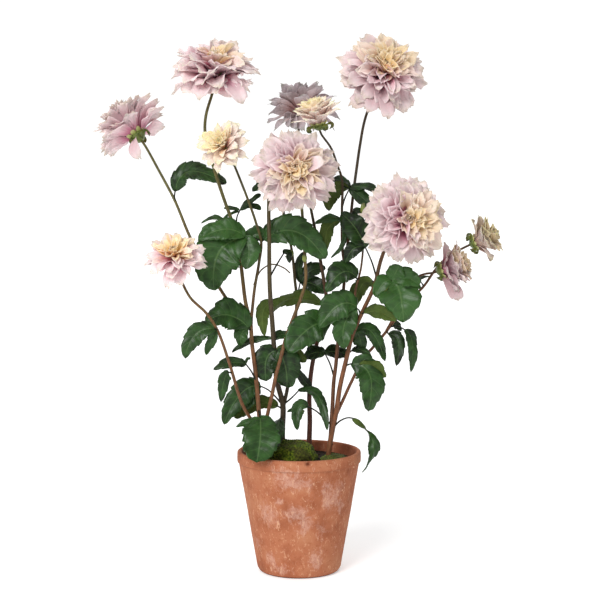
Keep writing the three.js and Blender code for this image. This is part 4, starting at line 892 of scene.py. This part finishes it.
# How light a leaf is painted, as painted light and shade from 0 in deep shade to 1 in full
# light, the route of its leaf stalk, and its blades: base, bend, tip and width in millimetres,
# the tilt of its face in degrees, and for some how far it turns aside, twists and tapers.
LEAVES = {
    "left_arch": (0.3, [(-203, 44, 606), (-206, 43, 614), (-205, 41, 622), (-204, 40, 628)],
        ((-204, 40, 624), (-197, 34, 684), (-120, 28, 637), 40, 40, 0, 0, 0.3)),
    "left_small": (0.25, [(-106, 5, 561), (-103, 14, 568), (-102, 24, 583), (-97, 30, 594)],
        ((-97, 30, 594), (-110, 31, 599), (-124, 32, 597), 9, 30),
        ((-97, 30, 594), (-81, 34, 610), (-63, 36, 620), 13, 40),
        ((-97, 30, 594), (-78, 35, 609), (-63, 38, 594), 14, 30),
        ((-98, 30, 592), (-112, 28, 592), (-128, 26, 576), 7, 30)),
    "left_wisp": (0.3, [(-108, 6, 564), (-112, 9, 566), (-116, 12, 568)],
        ((-115, 12, 568), (-133, 16, 594), (-160, 14, 573), 10, 50)),
    "left_big": (0.65, [(-61, -26, 546), (-72, -33, 551), (-85, -38, 552)],
        ((-84, -38, 553), (-146, -46, 548), (-136, -50, 468), 84, 20),
        ((-86, -38, 554), (-116, -42, 580), (-162, -47, 548), 42, 35),
        ((-90, -38, 551), (-72, -46, 540), (-86, -50, 502), 38, 10)),
    "middle_long": (0.5, [(-61, -26, 544), (-60, -22, 545), (-57, -18, 547)],
        ((-57, -18, 547), (-4, -10, 590), (42, -8, 516), 52, 10, 0, 0, 0.2),
        ((-58, -19, 546), (-71, -18, 570), (-83, -16, 537), 32, 10),
        ((-57, -17, 548), (-46, -10, 573), (-20, -6, 576), 26, 20)),
    "inner_right_high": (0.4, [(71, 13, 575), (69, 10, 576), (66, 8, 577)],
        ((67, 8, 578), (52, 2, 587), (26, -2, 572), 18, 40),
        ((67, 8, 577), (37, 0, 575), (44, -4, 528), 25, 160),
        ((67, 8, 576), (88, 1, 546), (52, 0, 517), 9, 20)),
    "inner_right": (0.05, [(126, -23, 484), (118, -18, 511), (107, -11, 536)],
        ((108, -11, 535), (94, -14, 570), (68, -10, 590), 44, 15),
        ((108, -11, 535), (86, -16, 542), (75, -14, 510), 26, 25),
        ((107, -11, 535), (113, -12, 552), (122, -12, 548), 8, 30)),
    "upper_right": (0.1, [(70, 11, 598), (75, 16, 614), (83, 20, 630)],
        ((83, 20, 629), (72, 22, 648), (54, 22, 643), 20, 35),
        ((83, 20, 631), (46, 17, 634), (49, 13, 593), 30, 150),
        ((82, 20, 629), (109, 16, 642), (132, 12, 621), 20, 45),
        ((82, 20, 629), (106, 13, 617), (121, 10, 596), 26, 30)),
    "side_shoot": (0.1, [(109, 4, 583), (107, 2, 586), (104, 0, 589)],
        ((105, 0, 588), (94, -4, 602), (86, -4, 582), 13, 30)),
    "middle_dark": (0.1, [(-4, 46, 447), (0, 50, 464), (2, 51, 474)],
        ((2, 51, 472), (-7, 51, 500), (8, 49, 524), 16, 20),
        ((2, 51, 472), (20, 51, 504), (43, 51, 494), 28, 30),
        ((2, 51, 472), (21, 53, 478), (45, 51, 455), 32, 20)),
    "middle_right_big": (0.5, [(100, -15, 425), (96, -22, 435), (91, -24, 437)],
        ((94, -23, 438), (66, -32, 462), (32, -36, 406), 52, 25),
        ((93, -23, 437), (63, -34, 417), (74, -36, 372), 40, 10)),
    "middle_big": (0.4, [(67, 15, 414), (57, 8, 413), (49, 1, 411), (43, -2, 412)],
        ((51, 1, 410), (19, -14, 420), (-18, -30, 366), 58, 15, 0, 0, 0.2)),
    "middle_olive": (0.6, [(44, 38, 440), (40, 36, 439), (35, 33, 438)],
        ((38, 34, 438), (-12, 22, 466), (-58, 6, 424), 36, 140),
        ((-41, 10, 444), (-70, 2, 441), (-56, 0, 389), 24, 160)),
    "low_dark": (0.2, [(-41, 5, 368), (-39, 2, 366), (-36, -1, 363)],
        ((-37, 0, 365), (-18, -5, 350), (-20, -3, 304), 54, 10, 0, 0, 0.2),
        ((-37, 0, 364), (-61, -5, 363), (-54, -7, 315), 46, 15, 0, 0, 0.2),
        ((-37, 1, 364), (-10, 5, 370), (11, 7, 345), 30, 150)),
    "low_pair": (0.2, [(-43, -2, 392), (-44, 2, 388), (-44, 7, 382)],
        ((-44, 5, 384), (-77, 10, 389), (-110, 9, 361), 16, 50),
        ((-44, 5, 384), (-33, 12, 391), (-17, 14, 391), 18, 30)),
    "behind_centre": (0.2, [(-48, 16, 637), (-50, 19, 638), (-54, 23, 638)],
        ((-51, 22, 638), (-64, 27, 638), (-77, 28, 625), 14, 30)),
    "left_middle": (0.55, [(-78, -6, 400), (-81, -11, 401), (-85, -15, 403)],
        ((-82, -13, 402), (-110, -22, 442), (-151, -28, 415), 56, 30),
        ((-82, -13, 402), (-99, -22, 401), (-94, -24, 375), 26, 10)),
    "left_hanging": (0.45, [(-130, -76, 407), (-131, -79, 408), (-134, -82, 410)],
        ((-131, -80, 409), (-170, -84, 417), (-181, -86, 363), 34, 25),
        ((-131, -79, 407), (-139, -70, 393), (-149, -66, 366), 17, 15)),
    "left_thin": (0.2, [(-70, -14, 316), (-77, -21, 332), (-87, -28, 347)],
        ((-85, -27, 346), (-110, -34, 355), (-139, -38, 339), 22, 40),
        ((-86, -28, 346), (-86, -33, 357), (-79, -34, 357), 6, 50)),
    "left_tongue": (0.35, [(-107, -53, 335), (-110, -56, 336), (-114, -58, 337)],
        ((-112, -57, 337), (-122, -62, 335), (-125, -62, 289), 22, 0, 20)),
    "low_left_big": (0.3, [(-29, 34, 271), (-40, 28, 285), (-51, 18, 297), (-65, 4, 306)],
        ((-63, 5, 305), (-97, -6, 314), (-123, -14, 245), 42, 15),
        ((-64, 5, 305), (-81, 0, 298), (-87, -4, 267), 30, 10)),
    "low_olive": (0.4, [(-28, 34, 263), (-32, 31, 266), (-38, 25, 270)],
        ((-35, 27, 270), (-73, 16, 284), (-106, 6, 252), 34, 150)),
    "pot_front": (0.45, [(-66, -18, 269), (-65, -30, 266), (-63, -42, 260)],
        ((-63, -40, 261), (-59, -80, 237), (-67, -102, 199), 64, 20, 0, 0, 0),
        ((-63, -42, 260), (-82, -50, 256), (-102, -52, 247), 13, 30)),
    "pot_dark": (0.1, [(-28, 35, 251), (-30, 30, 249), (-33, 21, 247)],
        ((-32, 23, 248), (-36, -22, 237), (-42, -58, 208), 26, 25)),
    "pot_back": (0.4, [(52, -1, 243), (41, 12, 251), (28, 18, 262), (12, 20, 270)],
        ((15, 20, 268), (-8, 18, 285), (-3, 12, 231), 24, 10),
        ((12, 20, 269), (-8, 22, 268), (-20, 24, 259), 8, 30)),
    "back_thin": (0.05, [(18, 46, 286), (20, 42, 291), (22, 38, 296)],
        ((22, 39, 294), (8, 36, 308), (-3, 32, 330), 16, 20)),
    "low_curl": (0.3, [(-25, 34, 271), (-13, 33, 281), (0, 28, 295)],
        ((-2, 28, 295), (39, 12, 311), (46, -12, 235), 20, 50)),
    "low_right_big": (0.35, [(75, -9, 340), (80, -12, 343), (88, -17, 346)],
        ((85, -16, 345), (130, -28, 350), (112, -34, 270), 50, 15, 0, 30, 0),
        ((98, -20, 345), (125, -24, 351), (141, -24, 324), 22, 140)),
    "pot_right": (0.3, [(57, -5, 239), (67, -11, 250), (80, -15, 256), (90, -17, 255)],
        ((87, -16, 256), (148, -30, 214), (102, -42, 171), 22, 25, 0, 330, 1)),
    "right_hanging": (0.25, [(88, -12, 395), (90, -8, 397), (94, -3, 398)],
        ((92, -4, 397), (123, 4, 416), (141, 2, 347), 26, 30),
        ((92, -4, 398), (101, 0, 392), (103, 0, 362), 26, 20),
        ((92, -4, 397), (90, 0, 410), (83, 2, 420), 15, 30)),
    "right_pair": (0.1, [(145, 28, 394), (146, 25, 392), (148, 20, 389)],
        ((147, 22, 390), (174, 14, 391), (160, 10, 338), 24, 20)),
    "right_tail": (0.1, [(150, 29, 401), (157, 27, 402), (165, 22, 402), (175, 13, 397)],
        ((173, 13, 397), (194, 8, 391), (184, 2, 329), 20, 20, 20)),
    "right_low_small": (0, [(79, -10, 359), (82, -7, 362), (87, -5, 366)],
        ((85, -5, 365), (101, -10, 372), (118, -12, 358), 14, 45)),
    "low_middle_pair": (0.05, [(57, 7, 322), (51, 14, 341), (42, 21, 359)],
        ((44, 20, 358), (26, 24, 363), (6, 26, 349), 26, 30),
        ((43, 20, 358), (59, 24, 364), (83, 26, 354), 26, 30)),
    "right_broad": (0.75, [(126, -24, 483), (137, -29, 489), (150, -34, 482)],
        ((148, -33, 483), (164, -42, 486), (168, -46, 416), 78, 15),
        ((148, -33, 482), (156, -38, 497), (162, -40, 508), 32, 20),
        ((148, -34, 482), (172, -40, 500), (193, -42, 474), 34, 20),
        ((149, -33, 483), (132, -37, 484), (124, -40, 456), 30, 15)),
    "right_speck": (0.2, [(207, 43, 467), (205, 40, 470), (203, 37, 473)],
        ((204, 38, 473), (193, 34, 483), (216, 30, 485), 12, 60)),
    "right_inner": (0.3, [(124, -23, 478), (122, -19, 479), (118, -13, 481)],
        ((120, -15, 480), (99, 20, 484), (89, 20, 431), 30, 150)),
    "right_olive": (0.5, [(101, -16, 427), (103, -19, 428), (107, -23, 430)],
        ((105, -21, 429), (129, -28, 439), (157, -28, 416), 34, 140)),
    "right_under": (0.1, [(162, 32, 416), (162, 36, 413), (161, 40, 410)],
        ((161, 39, 411), (159, 43, 403), (171, 44, 393), 14, 20)),
    "middle_right": (0.25, [(97, 0, 482), (95, -3, 483), (91, -7, 486)],
        ((94, -6, 485), (71, -16, 515), (44, -22, 463), 42, 30)),
    "middle_speck": (0.05, [(-47, -25, 488), (-36, -8, 507), (-25, 12, 524)],
        ((-26, 11, 523), (-18, 20, 532), (-15, 26, 507), 15, 20)),
}


def blade_half(share, width, point):
    """How wide a blade is to one side of its rib, without its teeth. Point is 1 for a long tip
    and 0 for a blunt one."""
    pointed = 1 - 0.4 * point * max(0, share / 0.4 - 1.5) ** 2
    power = 0.62 if share < 0.5 else 0.36 + 0.26 * point
    return 0.5 * width * max(math.sin(math.pi * share ** 0.85) ** power * pointed, 0.03)


def add_blade(bm, marks, tone, rng, base, bend, tip, width, tilt, aside=0, twist=0, point=0.5):
    """Shapes a grid into a leaf blade along base, bend and tip. Its face is tilted up and turned
    aside, and it twists towards its tip."""
    base, bend, tip = (Vector(place) * MM for place in (base, bend, tip))
    width *= MM
    tilt, aside, twist = (math.radians(angle) for angle in (tilt, aside, twist))
    upward = Vector((math.sin(aside) * math.cos(tilt), -math.cos(aside) * math.cos(tilt),
                     math.sin(tilt)))
    length = ((bend - base).length + (tip - bend).length + (tip - base).length) / 2
    teeth = max(3, round(length / TOOTH_LENGTH))
    grid = bmesh.ops.create_grid(bm, x_segments=10, y_segments=4 * teeth, size=1)
    faces = list({face for vert in grid["verts"] for face in vert.link_faces})
    # Shade is the leaf's painted light and shade, varied a little from blade to blade.
    shade, phase = tone + rng.uniform(-0.1, 0.1), rng.uniform(0, 6)
    for vert in grid["verts"]:
        across = vert.co.x
        share = (vert.co.y + 1) / 2
        edge = abs(across) ** 3
        other = 2 if across > 0 else 0
        rib = base.lerp(bend, share).lerp(bend.lerp(tip, share), share)
        along = ((bend - base).lerp(tip - bend, share)).normalized()
        side = along.cross(upward).normalized()
        face = side.cross(along).normalized()
        side, face = (side * math.cos(twist * share) + face * math.sin(twist * share),
                      face * math.cos(twist * share) - side * math.sin(twist * share))
        saw = (share * teeth + 0.15) % 1
        notch = math.sin(2.4 * math.floor(share * teeth + 0.15) + phase + other)
        bite = TOOTH_DEPTH * (0.6 + 0.4 * notch) * edge * (1 - saw)
        lobes = 0.06 * math.sin(7 * share + phase) * (1 if across > 0 else -1)
        half = blade_half(share, width, point) * (1 + lobes - bite)
        vein = (share - VEIN_SLANT * abs(across)) * SIDE_VEINS
        puff = 0.075 * abs(math.sin(math.pi * vein)) ** 0.7 * min(1, 4 * abs(across)) * (1 - edge)
        lift = half * (0.17 * abs(across) - 0.05 * across ** 2) + half * puff
        lift += 0.05 * width * math.sin(math.pi * share) * math.sin(share * 9) * -across
        lift += 0.07 * width * across ** 2 * math.sin(share * 13 + phase + other)
        lift += noise.noise(rib * 40 + Vector((across, share * 2, phase))) * 2.6 * MM
        hook = 0.25 * TOOTH_LENGTH * edge * saw * math.sin(math.pi * share)
        vert.co = rib + side * half * across + face * lift + along * hook
        vert[marks] = (share, abs(across), shade, 1)
    bmesh.ops.recalc_face_normals(bm, faces=faces)
    if sum(face.normal.dot(upward) for face in faces) < 0:
        bmesh.ops.reverse_faces(bm, faces=faces)
    bm.normal_update()
    under = bmesh.ops.extrude_face_region(bm, geom=faces, use_keep_orig=True)["geom"]
    for item in under:
        if isinstance(item, bmesh.types.BMVert):
            item.co -= item.normal * BLADE_THICK
    lower = [item for item in under if isinstance(item, bmesh.types.BMFace)]
    bmesh.ops.reverse_faces(bm, faces=lower)
    for face in lower:
        face.material_index = 1


def leaf_material(name, deep, light, vein, roughness, level):
    """Leaf skin: waxed smooth above, felted below, with a pale rib and side veins drawn about 0.8
    mm wide, and a blade dappled over 10 mm and painted lighter or darker as light and shade."""
    material, tree, shader = start_material(name, {
        "Roughness": roughness, "Specular IOR Level": level, "Subsurface Weight": 0.03,
        "Subsurface Scale": 1 * MM})
    mark = add_node(tree, "Attribute", attribute_name="tone")
    parts = add_node(tree, "SeparateColor", {"Color": mark}).outputs
    along, across = parts["Red"], parts["Green"]
    coords = add_node(tree, "TexCoord").outputs["Object"]
    dapple = add_node(tree, "TexNoise", {"Vector": coords, "Scale": 75, "Detail": 5})
    # The blade runs from the deep colour to the light one with its painted light and shade, dappled
    # by noise.
    both = add_node(tree, "Math", {0: parts["Blue"], 1: 0.62, 2: dapple}, operation="MULTIPLY_ADD")
    body = add_node(tree, "ValToRGB", {"Fac": both}, stops=[(0.42, deep), (1.0, light)])
    slant = add_node(tree, "Math", {0: across, 1: -VEIN_SLANT, 2: along}, operation="MULTIPLY_ADD")
    turns = add_node(tree, "Math", {0: slant, 1: SIDE_VEINS * math.pi}, operation="MULTIPLY")
    wave = add_node(tree, "Math", {0: turns}, operation="SINE")
    flat = add_node(tree, "Math", {0: wave}, operation="ABSOLUTE")
    side = add_node(tree, "MapRange", {
        "Value": flat, "From Min": 0.02, "From Max": 0.14, "To Min": 0.6, "To Max": 0})
    rib = add_node(tree, "MapRange", {
        "Value": across, "From Min": 0.015, "From Max": 0.06, "To Min": 1, "To Max": 0})
    lines = add_node(tree, "Math", {0: side, 1: rib}, operation="MAXIMUM")
    veined = add_node(tree, "Mix", {0: lines, 6: body, 7: linear(vein)}, data_type="RGBA")
    faint = add_node(tree, "Mix", {0: 0.55, 6: body, 7: veined}, data_type="RGBA")
    net = add_node(tree, "TexVoronoi", {"Vector": coords, "Scale": 520}, feature="DISTANCE_TO_EDGE")
    fine = add_node(tree, "Bump", {"Height": net, "Strength": 0.15, "Distance": 0.2 * MM})
    bump = add_node(tree, "Bump", {
        "Height": lines, "Strength": 0.5, "Distance": -0.4 * MM, "Normal": fine})
    plug(shader, {"Base Color": faint, "Normal": bump})
    return material


leaf_above = leaf_material("waxed leaf", "#0F1A0B", "#325424", "#557140", 0.33, 0.24)
leaf_below = leaf_material("leaf underside", "#3A461C", "#4C5E28", "#606E38", 0.6, 0.15)
leaf_stalk = stem_material("green leaf stalk", "#333A1C", "#3E4820", "#1A1E12")

for number, (name, (tone, petiole, *blades)) in enumerate(LEAVES.items()):
    rng = random.Random(700 + number)
    bm = bmesh.new()
    marks = bm.verts.layers.float_color.new("tone")
    for blade in blades:
        add_blade(bm, marks, tone, rng, *blade)
    places = smooth_route([Vector(point) * MM for point in petiole], PETIOLE_STEP)
    last = len(places) - 1
    radii = [blend(*PETIOLE_THICK, i / last) * MM for i in range(last + 1)]
    for face in add_tube(bm, places, radii, PETIOLE_SIDES):
        face.material_index = 2
    add_piece(f"blades_{name}", bm, [leaf_above, leaf_below, leaf_stalk], [f"leaf_{name}"])
